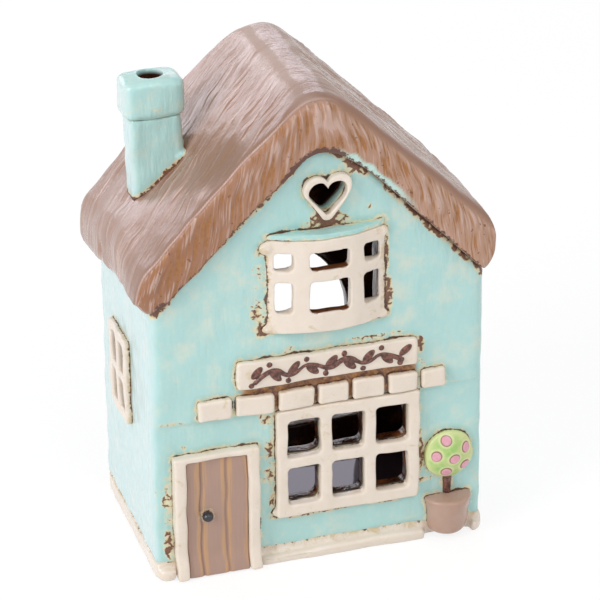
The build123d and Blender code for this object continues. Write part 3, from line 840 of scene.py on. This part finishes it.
def cream_glaze():
    """Cream stoneware glaze over pressed frames: even and milky, tan at thin edges, iron in the joints."""
    finish, place, rim, slip, inside = new_glaze("cream_stoneware_glaze", "rim", "slip", "inside")
    # Milky clouds of 6 mm, tan stains of 4 mm and 1.5 mm crumbs
    clouds = add(finish, "ShaderNodeTexNoise", {
        "Vector": place, "Scale": 1 / (6 * MM), "Detail": 4.0, "Roughness": 0.6})
    stains = add(finish, "ShaderNodeTexNoise", {
        "Vector": place, "Scale": 1 / (4 * MM), "Detail": 6.0, "Roughness": 0.68, "Distortion": 0.6})
    crumbs = add(finish, "ShaderNodeTexNoise", {
        "Vector": place, "Scale": 1 / (1.5 * MM), "Detail": 4.0, "Roughness": 0.6})
    colour = add(finish, "ShaderNodeMix", {
        "Factor": clouds, 6: linear("#eee3d8"), 7: linear("#e4d4c2")}, 2, data_type="RGBA")
    low = add(finish, "ShaderNodeMapRange", {
        "Value": rim, "From Min": 0.2, "From Max": 1.9, "To Min": 0.2, "To Max": -0.03})
    staining = add(finish, "ShaderNodeMath", {0: stains, 1: low}, operation="ADD")
    stain = add(finish, "ShaderNodeMapRange", {
        "Value": staining, "From Min": 0.53, "From Max": 0.77, "To Max": 0.85},
        interpolation_type="SMOOTHSTEP")
    colour = add(finish, "ShaderNodeMix", {
        "Factor": stain, 6: colour, 7: linear("#d3bb92")}, 2, data_type="RGBA")
    ragged_rim = add(finish, "ShaderNodeMath", {0: crumbs, 1: -2.4, 2: rim}, operation="MULTIPLY_ADD")
    joint = add(finish, "ShaderNodeMapRange", {
        "Value": ragged_rim, "From Min": -1.05, "From Max": -0.75, "To Min": 1.0, "To Max": 0.0})
    colour = add(finish, "ShaderNodeMix", {
        "Factor": joint, 6: colour, 7: linear("#5c3b2d")}, 2, data_type="RGBA")
    # Iron slip pooled in the bay's middle panes
    pooled = add(finish, "ShaderNodeMix", {
        "Factor": crumbs, 6: linear("#3a2015"), 7: linear("#7a4a2a")}, 2, data_type="RGBA")
    colour = add(finish, "ShaderNodeMix", {"Factor": slip, 6: colour, 7: pooled}, 2, data_type="RGBA")
    # The room floor is dark and wet-looking, with a violet sheen; its dark colour is also tinted violet as a
    # painted reflection of the light that comes in at the back
    colour = add(finish, "ShaderNodeMix", {
        "Factor": inside, 6: colour, 7: linear("#3b2f33")}, 2, data_type="RGBA")
    tint = add(finish, "ShaderNodeMix", {
        "Factor": inside, 6: linear("#ffffff"), 7: linear("#ece0ee")}, 2, data_type="RGBA")
    shader = finish.node_tree.nodes["Principled BSDF"]
    finish.node_tree.links.new(tint, shader.inputs["Specular Tint"])
    rough = add(finish, "ShaderNodeMapRange", {"Value": inside, "To Min": 0.2, "To Max": 0.06})
    level = add(finish, "ShaderNodeMapRange", {"Value": inside, "To Min": 1.0, "To Max": 0.1})
    relief = add(finish, "ShaderNodeMath", {0: clouds, 1: level}, operation="MULTIPLY")
    fire(finish, colour, rough, relief, 0.25)
    return finish


def thatch_glaze():
    """Brown stoneware glaze over combed clay: amber pools in its furrows, pinkish grey on its ridges."""
    finish, place, rim, comb, gable, inside, hard, over, wear = new_glaze(
        "thatch_brown_stoneware_glaze", "rim", "comb", "gable", "inside", "pressed", "overrun", "wear")
    # Clouds of 12 mm, crumbs of 1.4 mm, and fine strokes 0.6 mm apart and 9 mm long
    clouds = add(finish, "ShaderNodeTexNoise", {
        "Vector": place, "Scale": 1 / (12 * MM), "Detail": 4.0, "Roughness": 0.6})
    crumbs = add(finish, "ShaderNodeTexNoise", {
        "Vector": place, "Scale": 1 / (1.4 * MM), "Detail": 4.0, "Roughness": 0.62})
    lay = add(finish, "ShaderNodeAttribute", {}, "Vector", attribute_name="lay")
    drawn = add(finish, "ShaderNodeMapping", {
        "Vector": lay, "Scale": (1 / (0.6 * MM), 1 / (9 * MM), 1 / (3 * MM))})
    strokes = add(finish, "ShaderNodeTexNoise", {"Vector": drawn, "Scale": 1.0, "Detail": 2.0})
    share = add(finish, "ShaderNodeMapRange", {"Value": gable, "To Min": 1.4, "To Max": 4.2})
    centred = add(finish, "ShaderNodeMath", {0: strokes, 1: -0.5}, operation="ADD")
    drawn_hard = add(finish, "ShaderNodeMath", {0: centred, 1: hard}, operation="MULTIPLY")
    standing = add(finish, "ShaderNodeMath", {0: drawn_hard, 1: share, 2: comb}, operation="MULTIPLY_ADD")
    slope_body = add(finish, "ShaderNodeMix", {
        "Factor": clouds, 6: linear("#926d59"), 7: linear("#a58475")}, 2, data_type="RGBA")
    # Painted sheen: paler and pinker near the left eave, and in a pale band just left of the ridge
    across = add(finish, "ShaderNodeSeparateXYZ", {"Vector": place}, "X")
    pink = add(finish, "ShaderNodeMapRange", {
        "Value": across, "From Min": -54 * MM, "From Max": -30 * MM, "To Min": 0.4, "To Max": 0.0})
    slope_body = add(finish, "ShaderNodeMix", {
        "Factor": pink, 6: slope_body, 7: linear("#b89f99")}, 2, data_type="RGBA")
    # The pale band left of the ridge is painted sheen
    to_ridge = add(finish, "ShaderNodeMath", {0: across, 1: 4.5 * MM}, operation="ADD")
    from_ridge = add(finish, "ShaderNodeMath", {0: to_ridge}, operation="ABSOLUTE")
    thin = add(finish, "ShaderNodeMapRange", {
        "Value": from_ridge, "From Min": 1 * MM, "From Max": 7 * MM, "To Min": 0.6, "To Max": 0.0},
        interpolation_type="SMOOTHSTEP")
    slope_body = add(finish, "ShaderNodeMix", {
        "Factor": thin, 6: slope_body, 7: linear("#c3aaa1")}, 2, data_type="RGBA")
    # Painted shade: the front 25 mm of the slopes are mixed darker, where they reflect less sheen, and the
    # gloss is rougher there
    along = add(finish, "ShaderNodeSeparateXYZ", {"Vector": place}, "Y")
    front_of_slope = add(finish, "ShaderNodeMapRange", {
        "Value": along, "From Min": -10 * MM, "From Max": -32 * MM}, interpolation_type="SMOOTHSTEP")
    painted_front_shade = add(finish, "ShaderNodeMath", {0: front_of_slope, 1: 0.55}, operation="MULTIPLY")
    slope_body = add(finish, "ShaderNodeMix", {
        "Factor": painted_front_shade, 6: slope_body, 7: linear("#84624f")}, 2, data_type="RGBA")
    # The slope turned to +X is browner, with a lower specular level, and its strokes are fainter
    facing_out = add(finish, "ShaderNodeNewGeometry", {}, "Normal")
    facing_x = add(finish, "ShaderNodeSeparateXYZ", {"Vector": facing_out}, "X")
    turned_right = add(finish, "ShaderNodeMapRange", {"Value": facing_x, "From Min": 0.25, "From Max": 0.6})
    browner = add(finish, "ShaderNodeMath", {0: turned_right, 1: 0.7}, operation="MULTIPLY")
    slope_body = add(finish, "ShaderNodeMix", {
        "Factor": browner, 6: slope_body, 7: linear("#a27d6b")}, 2, data_type="RGBA")
    shine = add(finish, "ShaderNodeMapRange", {"Value": turned_right, "To Min": 0.5, "To Max": 0.06})
    shader = finish.node_tree.nodes["Principled BSDF"]
    finish.node_tree.links.new(shine, shader.inputs["Specular IOR Level"])
    # The ends are browner at the left and pinker at the right
    pinker = add(finish, "ShaderNodeMapRange", {"Value": across, "From Min": -45 * MM, "From Max": 25 * MM})
    end_body = add(finish, "ShaderNodeMix", {
        "Factor": pinker, 6: linear("#9c6d51"), 7: linear("#b58e78")}, 2, data_type="RGBA")
    body = add(finish, "ShaderNodeMix", {"Factor": gable, 6: slope_body, 7: end_body}, 2, data_type="RGBA")
    ridge = add(finish, "ShaderNodeMapRange", {
        "Value": standing, "From Min": 0.15, "From Max": 0.9, "To Max": 0.85},
        interpolation_type="SMOOTHSTEP")
    fainter = add(finish, "ShaderNodeMapRange", {"Value": turned_right, "To Min": 1.0, "To Max": 0.7})
    shown_ridge = add(finish, "ShaderNodeMath", {0: ridge, 1: fainter}, operation="MULTIPLY")
    colour = add(finish, "ShaderNodeMix", {
        "Factor": shown_ridge, 6: body, 7: linear("#c4a598")}, 2, data_type="RGBA")
    pool = add(finish, "ShaderNodeMapRange", {
        "Value": standing, "From Min": -0.8, "From Max": -0.05, "To Min": 0.95, "To Max": 0.0},
        interpolation_type="SMOOTHSTEP")
    amber = add(finish, "ShaderNodeMix", {
        "Factor": crumbs, 6: linear("#7c4a2a"), 7: linear("#b98148")}, 2, data_type="RGBA")
    pool_share = add(finish, "ShaderNodeMapRange", {"Value": gable, "To Min": 0.4, "To Max": 1.0})
    pooled = add(finish, "ShaderNodeMath", {0: pool, 1: pool_share}, operation="MULTIPLY")
    colour = add(finish, "ShaderNodeMix", {"Factor": pooled, 6: colour, 7: amber}, 2, data_type="RGBA")
    # Browner still in the knot at the left eave, the one place that deep
    knot = add(finish, "ShaderNodeMapRange", {
        "Value": comb, "From Min": -2.2, "From Max": -1.2, "To Min": 0.8, "To Max": 0.0})
    colour = add(finish, "ShaderNodeMix", {
        "Factor": knot, 6: colour, 7: linear("#94694f")}, 2, data_type="RGBA")
    # Dark iron specks of half a millimetre in the pools of the cut ends
    dots = add(finish, "ShaderNodeTexNoise", {"Vector": place, "Scale": 1 / (1.5 * MM), "Detail": 1.0})
    dot = add(finish, "ShaderNodeMapRange", {
        "Value": dots, "From Min": 0.71, "From Max": 0.76, "To Max": 0.7})
    speck = add(finish, "ShaderNodeMath", {0: dot, 1: gable}, operation="MULTIPLY")
    colour = add(finish, "ShaderNodeMix", {
        "Factor": speck, 6: colour, 7: linear("#6b3d26")}, 2, data_type="RGBA")
    # A painted highlight: a pale crest where slope and cut end meet, on the left of the tip
    rising = add(finish, "ShaderNodeMapRange", {"Value": gable, "From Min": 0.0, "From Max": 0.2})
    falling = add(finish, "ShaderNodeMapRange", {
        "Value": gable, "From Min": 0.3, "From Max": 0.75, "To Min": 0.9, "To Max": 0.0})
    meeting = add(finish, "ShaderNodeMath", {0: rising, 1: falling}, operation="MULTIPLY")
    on_left = add(finish, "ShaderNodeMapRange", {
        "Value": across, "From Min": -12 * MM, "From Max": 8 * MM, "To Min": 1.0, "To Max": 0.0})
    painted_crest_highlight = add(finish, "ShaderNodeMath", {0: meeting, 1: on_left}, operation="MULTIPLY")
    colour = add(finish, "ShaderNodeMix", {
        "Factor": painted_crest_highlight, 6: colour, 7: linear("#c6a79d")}, 2, data_type="RGBA")
    # Thin wall glaze that ran over the hem
    colour = add(finish, "ShaderNodeMix", {
        "Factor": over, 6: colour, 7: linear("#bddbd3")}, 2, data_type="RGBA")
    # Iron crumbs of 1.4 mm in the joint with the walls, and thick where the glaze chipped
    ragged_rim = add(finish, "ShaderNodeMath", {0: crumbs, 1: -4.2, 2: rim}, operation="MULTIPLY_ADD")
    worn_rim = add(finish, "ShaderNodeMath", {0: wear, 1: -1.3, 2: ragged_rim}, operation="MULTIPLY_ADD")
    joint = add(finish, "ShaderNodeMapRange", {
        "Value": worn_rim, "From Min": -1.7, "From Max": -1.3, "To Min": 0.95, "To Max": 0.0})
    colour = add(finish, "ShaderNodeMix", {
        "Factor": joint, 6: colour, 7: linear("#5d3a2f")}, 2, data_type="RGBA")
    colour = add(finish, "ShaderNodeMix", {
        "Factor": inside, 6: colour, 7: linear("#23130e")}, 2, data_type="RGBA")
    grain = add(finish, "ShaderNodeMath", {0: crumbs, 1: 0.3, 2: strokes}, operation="MULTIPLY_ADD")
    flatter = add(finish, "ShaderNodeMapRange", {"Value": turned_right, "To Min": 1.0, "To Max": 0.3})
    relief = add(finish, "ShaderNodeMath", {0: grain, 1: flatter}, operation="MULTIPLY")
    rough = add(finish, "ShaderNodeMapRange", {"Value": front_of_slope, "To Min": 0.1, "To Max": 0.22})
    fire(finish, colour, rough, relief, 0.15)
    return finish


def door_glaze():
    """Brown stoneware glaze on scored planks: dusty pink-brown, running amber down beside each joint."""
    finish, place, joint, rim, pull = new_glaze("plank_brown_stoneware_glaze", "joint", "rim", "pull")
    # Runs 0.9 mm wide and 14 mm long
    drawn = add(finish, "ShaderNodeMapping", {
        "Vector": place, "Scale": (1 / (0.9 * MM), 1 / (3 * MM), 1 / (14 * MM))})
    runs = add(finish, "ShaderNodeTexNoise", {"Vector": drawn, "Scale": 1.0, "Detail": 3.0})
    # Two amber ribs 1.1 mm either side of each joint
    to_rib = add(finish, "ShaderNodeMath", {0: joint, 1: -1.1}, operation="ADD")
    from_rib = add(finish, "ShaderNodeMath", {0: to_rib}, operation="ABSOLUTE")
    beside = add(finish, "ShaderNodeMapRange", {
        "Value": from_rib, "From Min": 0.1, "From Max": 1.5, "To Min": 0.3, "To Max": -0.12},
        interpolation_type="SMOOTHSTEP")
    running = add(finish, "ShaderNodeMath", {0: runs, 1: beside}, operation="ADD")
    amber = add(finish, "ShaderNodeMapRange", {
        "Value": running, "From Min": 0.52, "From Max": 0.86, "To Max": 0.85},
        interpolation_type="SMOOTHSTEP")
    colour = add(finish, "ShaderNodeMix", {
        "Factor": amber, 6: linear("#ad8e7f"), 7: linear("#c4996f")}, 2, data_type="RGBA")
    groove = add(finish, "ShaderNodeMapRange", {
        "Value": joint, "From Min": 0.2, "From Max": 0.7, "To Min": 0.5, "To Max": 0.0})
    colour = add(finish, "ShaderNodeMix", {
        "Factor": groove, 6: colour, 7: linear("#8d6857")}, 2, data_type="RGBA")
    edge = add(finish, "ShaderNodeMapRange", {
        "Value": rim, "From Min": 0.05, "From Max": 0.5, "To Min": 0.8, "To Max": 0.0})
    colour = add(finish, "ShaderNodeMix", {
        "Factor": edge, 6: colour, 7: linear("#7d5340")}, 2, data_type="RGBA")
    # A pale ring and a dark line where the pull was pressed on, ragged by 1 mm crumbs
    crumbs = add(finish, "ShaderNodeTexNoise", {"Vector": place, "Scale": 1 / (1.0 * MM), "Detail": 3.0})
    ragged_pull = add(finish, "ShaderNodeMath", {0: crumbs, 1: -2.0, 2: pull}, operation="MULTIPLY_ADD")
    pale = add(finish, "ShaderNodeMapRange", {
        "Value": ragged_pull, "From Min": -0.2, "From Max": 0.2, "To Min": 0.8, "To Max": 0.0})
    colour = add(finish, "ShaderNodeMix", {
        "Factor": pale, 6: colour, 7: linear("#cdb296")}, 2, data_type="RGBA")
    line = add(finish, "ShaderNodeMapRange", {
        "Value": ragged_pull, "From Min": -0.7, "From Max": -0.45, "To Min": 0.9, "To Max": 0.0})
    colour = add(finish, "ShaderNodeMix", {
        "Factor": line, 6: colour, 7: linear("#4c2f26")}, 2, data_type="RGBA")
    fire(finish, colour, 0.25, runs, 0.15)
    return finish


def pot_glaze():
    """Brown stoneware glaze on a pinched pot: smooth, warm, and paler where it ran thick."""
    finish, place, rim = new_glaze("pot_brown_stoneware_glaze", "rim")
    # Clouds of 7 mm and specks of 1 mm
    clouds = add(finish, "ShaderNodeTexNoise", {
        "Vector": place, "Scale": 1 / (7 * MM), "Detail": 4.0, "Roughness": 0.6})
    specks = add(finish, "ShaderNodeTexNoise", {
        "Vector": place, "Scale": 1 / (1.0 * MM), "Detail": 3.0})
    colour = add(finish, "ShaderNodeMix", {
        "Factor": clouds, 6: linear("#ae8974"), 7: linear("#bfa295")}, 2, data_type="RGBA")
    ragged_rim = add(finish, "ShaderNodeMath", {0: specks, 1: -2.4, 2: rim}, operation="MULTIPLY_ADD")
    joint = add(finish, "ShaderNodeMapRange", {
        "Value": ragged_rim, "From Min": -1.0, "From Max": -0.6, "To Min": 1.0, "To Max": 0.0})
    colour = add(finish, "ShaderNodeMix", {
        "Factor": joint, 6: colour, 7: linear("#5c3b2d")}, 2, data_type="RGBA")
    fire(finish, colour, 0.2, clouds, 0.3)
    return finish


def leaf_glaze():
    """Copper-green brushed glaze on the clipped ball: patches of leaf green over lemon, brown at its edge."""
    finish, place, rim, blossom = new_glaze("leaf_green_glaze", "rim", "blossom")
    # Brush patches of 5 mm and crumbs of 1 mm
    patches = add(finish, "ShaderNodeTexNoise", {
        "Vector": place, "Scale": 1 / (5 * MM), "Detail": 3.0, "Roughness": 0.55, "Distortion": 0.5})
    crumbs = add(finish, "ShaderNodeTexNoise", {
        "Vector": place, "Scale": 1 / (1.0 * MM), "Detail": 3.0})
    leafy = add(finish, "ShaderNodeMapRange", {
        "Value": patches, "From Min": 0.36, "From Max": 0.62}, interpolation_type="SMOOTHSTEP")
    colour = add(finish, "ShaderNodeMix", {
        "Factor": leafy, 6: linear("#bdd287"), 7: linear("#95c468")}, 2, data_type="RGBA")
    lemon = add(finish, "ShaderNodeMapRange", {
        "Value": rim, "From Min": 1.2, "From Max": 3.6, "To Min": 0.9, "To Max": 0.0},
        interpolation_type="SMOOTHSTEP")
    colour = add(finish, "ShaderNodeMix", {
        "Factor": lemon, 6: colour, 7: linear("#dbe0a2")}, 2, data_type="RGBA")
    # Yellower to the right of its middle
    ball_low, ball_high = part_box("topiary_ball")
    across = add(finish, "ShaderNodeSeparateXYZ", {"Vector": place}, "X")
    sunny = add(finish, "ShaderNodeMapRange", {
        "Value": across, "From Min": (ball_low.x + ball_high.x) / 2, "From Max": ball_high.x, "To Max": 0.75})
    colour = add(finish, "ShaderNodeMix", {
        "Factor": sunny, 6: colour, 7: linear("#d6d795")}, 2, data_type="RGBA")
    petal = add(finish, "ShaderNodeMapRange", {
        "Value": blossom, "From Min": 0.6, "From Max": 1.3, "To Min": 0.7, "To Max": 0.0})
    colour = add(finish, "ShaderNodeMix", {
        "Factor": petal, 6: colour, 7: linear("#e2e2ae")}, 2, data_type="RGBA")
    ragged_rim = add(finish, "ShaderNodeMath", {0: crumbs, 1: -2.2, 2: rim}, operation="MULTIPLY_ADD")
    joint = add(finish, "ShaderNodeMapRange", {
        "Value": ragged_rim, "From Min": -0.9, "From Max": -0.5, "To Min": 1.0, "To Max": 0.0})
    colour = add(finish, "ShaderNodeMix", {
        "Factor": joint, 6: colour, 7: linear("#5c3b2d")}, 2, data_type="RGBA")
    ring = add(finish, "ShaderNodeMapRange", {
        "Value": blossom, "From Min": 0.2, "From Max": 0.5, "To Min": 0.8, "To Max": 0.0})
    colour = add(finish, "ShaderNodeMix", {
        "Factor": ring, 6: colour, 7: linear("#7d5a4c")}, 2, data_type="RGBA")
    fire(finish, colour, 0.22, patches, 0.3)
    return finish


def blossom_glaze():
    """Chrome-pink glaze dabbed on the blossom, thick in the middle and brown where each dab ends."""
    finish, place, rim = new_glaze("blossom_pink_glaze", "rim")
    # Dabs of 1.2 mm
    dabs = add(finish, "ShaderNodeTexNoise", {"Vector": place, "Scale": 1 / (1.2 * MM), "Detail": 2.0})
    colour = add(finish, "ShaderNodeMix", {
        "Factor": dabs, 6: linear("#e8b3bd"), 7: linear("#d98fa6")}, 2, data_type="RGBA")
    edge = add(finish, "ShaderNodeMapRange", {
        "Value": rim, "From Min": 0.02, "From Max": 0.2, "To Min": 0.85, "To Max": 0.0})
    colour = add(finish, "ShaderNodeMix", {
        "Factor": edge, 6: colour, 7: linear("#7d5a4c")}, 2, data_type="RGBA")
    fire(finish, colour, 0.22, dabs, 0.1)
    return finish


def iron_glaze():
    """Iron-black slip under a clear glaze: near black where thick, rust brown where the brush dragged."""
    finish, place = new_glaze("iron_slip_glaze")
    # Drags of 1.1 mm
    drags = add(finish, "ShaderNodeTexNoise", {
        "Vector": place, "Scale": 1 / (1.1 * MM), "Detail": 4.0, "Roughness": 0.65})
    share = add(finish, "ShaderNodeMapRange", {"Value": drags, "From Min": 0.42, "From Max": 0.66})
    colour = add(finish, "ShaderNodeMix", {
        "Factor": share, 6: linear("#4a2d27"), 7: linear("#8d5848")}, 2, data_type="RGBA")
    fire(finish, colour, 0.22, drags, 0.2)
    return finish


def knob_glaze():
    """Black glaze pooled on a pinch of clay, blue-grey where it catches light."""
    finish, place = new_glaze("black_bead_glaze")
    # Pools of 1.5 mm
    pools = add(finish, "ShaderNodeTexNoise", {"Vector": place, "Scale": 1 / (1.5 * MM), "Detail": 2.0})
    colour = add(finish, "ShaderNodeMix", {
        "Factor": pools, 6: linear("#1c1b20"), 7: linear("#3a3d45")}, 2, data_type="RGBA")
    fire(finish, colour, 0.12, pools, 0.1)
    return finish


turquoise = turquoise_glaze()
cream = cream_glaze()
iron = iron_glaze()
dressing = {
    "glazed_walls": (turquoise, "turquoise_glaze", walls),
    "skirted_base": (cream, "cream_glaze", ["base_slab"]),
    "combed_thatch": (thatch_glaze(), "thatch_glaze", ["thatch_roof"]),
    "luted_stack": (turquoise, "turquoise_glaze", ["chimney_stack"]),
    "thrown_cap": (turquoise, "turquoise_glaze", ["chimney_cap"]),
    "heart_vent": (cream, "cream_glaze", ["heart_frame"]),
    "bowed_window": (cream, "cream_glaze", ["bay_window"]),
    "bay_roof": (turquoise, "turquoise_glaze", ["bay_hood"]),
    "bay_floor": (iron, "dark_glaze", ["bay_sill"]),
    "shop_sign": (cream, "cream_glaze", ["sign_board"]),
    "sign_vine": (iron, "dark_glaze", []),
    "brick_course": (cream, "cream_glaze", bricks),
    "shop_sash": (cream, "cream_glaze", ["shop_window"]),
    "door_surround": (cream, "cream_glaze", ["door_frame"]),
    "boarded_door": (door_glaze(), "brown_glaze", ["door_panel"]),
    "door_pull": (knob_glaze(), "dark_glaze", ["door_knob"]),
    "clipped_ball": (leaf_glaze(), "leaf_glaze", ["topiary_ball"]),
    "ball_blossom": (blossom_glaze(), "flower_glaze", flowers),
    "tree_stem": (iron, "dark_glaze", ["topiary_trunk"]),
    "tree_pot": (pot_glaze(), "brown_glaze", ["plant_pot"]),
    "left_casement": (cream, "cream_glaze", ["left_window"]),
    "right_casement": (cream, "cream_glaze", ["right_window"]),
}
for name, (finish, slot, nodes) in dressing.items():
    for face in clay[name].faces:
        face.smooth = True
    mesh = bpy.data.meshes.new(name)
    clay[name].to_mesh(mesh)
    clay[name].free()
    mesh.materials.append(finish)
    piece = bpy.data.objects.new(name, mesh)
    bpy.context.scene.collection.objects.link(piece)
    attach(piece, "root")
    if nodes:
        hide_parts(*nodes)


# Studio: a white floor and surround, soft light and the camera


def white_paper():
    """Matt white paper: it shows as white, and keeps a pale shadow of the cottage."""
    finish = bpy.data.materials.new("matt_white_paper")
    finish.use_nodes = True
    nodes = finish.node_tree.nodes
    nodes.remove(nodes["Principled BSDF"])
    seen = seen_directly(finish)
    matt = add(finish, "ShaderNodeBsdfDiffuse", {"Color": linear("#f8f8f8")})
    glow = add(finish, "ShaderNodeEmission", {"Color": linear("#ffffff"), "Strength": 1.06})
    paper = add(finish, "ShaderNodeMixShader", {0: 0.76, 1: matt, 2: glow})
    shown = add(finish, "ShaderNodeMixShader", {0: seen, 1: matt, 2: paper})
    finish.node_tree.links.new(shown, nodes["Material Output"].inputs["Surface"])
    return finish


def seen_directly(finish):
    """1 for what the eye sees straight, in a gloss or through glass, 0 for light on its way to a surface."""
    path = finish.node_tree.nodes.new("ShaderNodeLightPath")
    gloss = add(finish, "ShaderNodeMath", {
        0: path.outputs["Is Camera Ray"], 1: path.outputs["Is Glossy Ray"]}, operation="MAXIMUM")
    return add(finish, "ShaderNodeMath", {
        0: gloss, 1: path.outputs["Is Transmission Ray"]}, operation="MAXIMUM")


sheet = bmesh.new()
bmesh.ops.create_grid(sheet, x_segments=1, y_segments=1, size=4)
bmesh.ops.translate(sheet, verts=sheet.verts, vec=(0, 0, -0.05 * MM))
paper_mesh = bpy.data.meshes.new("paper_floor")
sheet.to_mesh(paper_mesh)
sheet.free()
paper_mesh.materials.append(white_paper())
floor = bpy.data.objects.new("paper_floor", paper_mesh)
bpy.context.scene.collection.objects.link(floor)

surround = bpy.data.worlds.new("white_surround")
surround.use_nodes = True
bpy.context.scene.world = surround
glow_level = add(surround, "ShaderNodeMapRange", {
    "Value": seen_directly(surround), "To Min": 0.47, "To Max": 1.0})
background = surround.node_tree.nodes["Background"]
background.inputs["Color"].default_value = linear("#ffffff")
surround.node_tree.links.new(glow_level, background.inputs["Strength"])

look_at = Vector((3.47, 0, 73.14)) * MM
# Softboxes: place in metres, width and height in metres, watts and colour
softboxes = {
    "left_softbox": ((-0.9, -0.4, 0.55), 0.45, 0.8, 5.8, "#ffffff"),
    "front_softbox": ((0.15, -0.9, 0.9), 0.5, 0.5, 2.2, "#ffffff"),
    "overhead_softbox": ((0.1, -0.1, 1.2), 0.8, 0.8, 1.5, "#ffffff"),
    "right_softbox": ((0.95, -0.5, 0.45), 0.6, 0.6, 1.2, "#fffdf8"),
    "back_softbox": ((-0.46, 1.05, 0.52), 0.5, 0.4, 1.9, "#f4f2ff"),
    "window_softbox": ((0.28, 0.92, 0.5), 0.4, 0.3, 0.8, "#f0eeff"),
}
for name, (spot, width, height, watts, colour) in softboxes.items():
    lamp = bpy.data.lights.new(name, "AREA")
    lamp.shape = "RECTANGLE"
    lamp.size = width
    lamp.size_y = height
    lamp.energy = watts
    lamp.color = linear(colour)[:3]
    softbox = bpy.data.objects.new(name, lamp)
    softbox.location = spot
    softbox.rotation_euler = (look_at - Vector(spot)).to_track_quat("-Z", "Y").to_euler()
    bpy.context.scene.collection.objects.link(softbox)

azimuth = math.radians(-16.97)
elevation = math.radians(26.47)
tilt = -0.00879
distance = 937.91 * MM
back = Vector((
    math.sin(azimuth) * math.cos(elevation), -math.cos(azimuth) * math.cos(elevation), math.sin(elevation)))
right = Vector((0, 0, 1)).cross(back).normalized()
facing = Matrix((right, back.cross(right), back)).transposed() @ Matrix.Rotation(tilt, 3, "Z")
eye = bpy.data.cameras.new("camera")
eye.lens = 180
eye.sensor_width = 36
camera = bpy.data.objects.new("camera", eye)
camera.matrix_world = Matrix.Translation(look_at + back * distance) @ facing.to_4x4()
bpy.context.scene.collection.objects.link(camera)
bpy.context.scene.camera = camera
bpy.context.scene.view_settings.view_transform = "Standard"
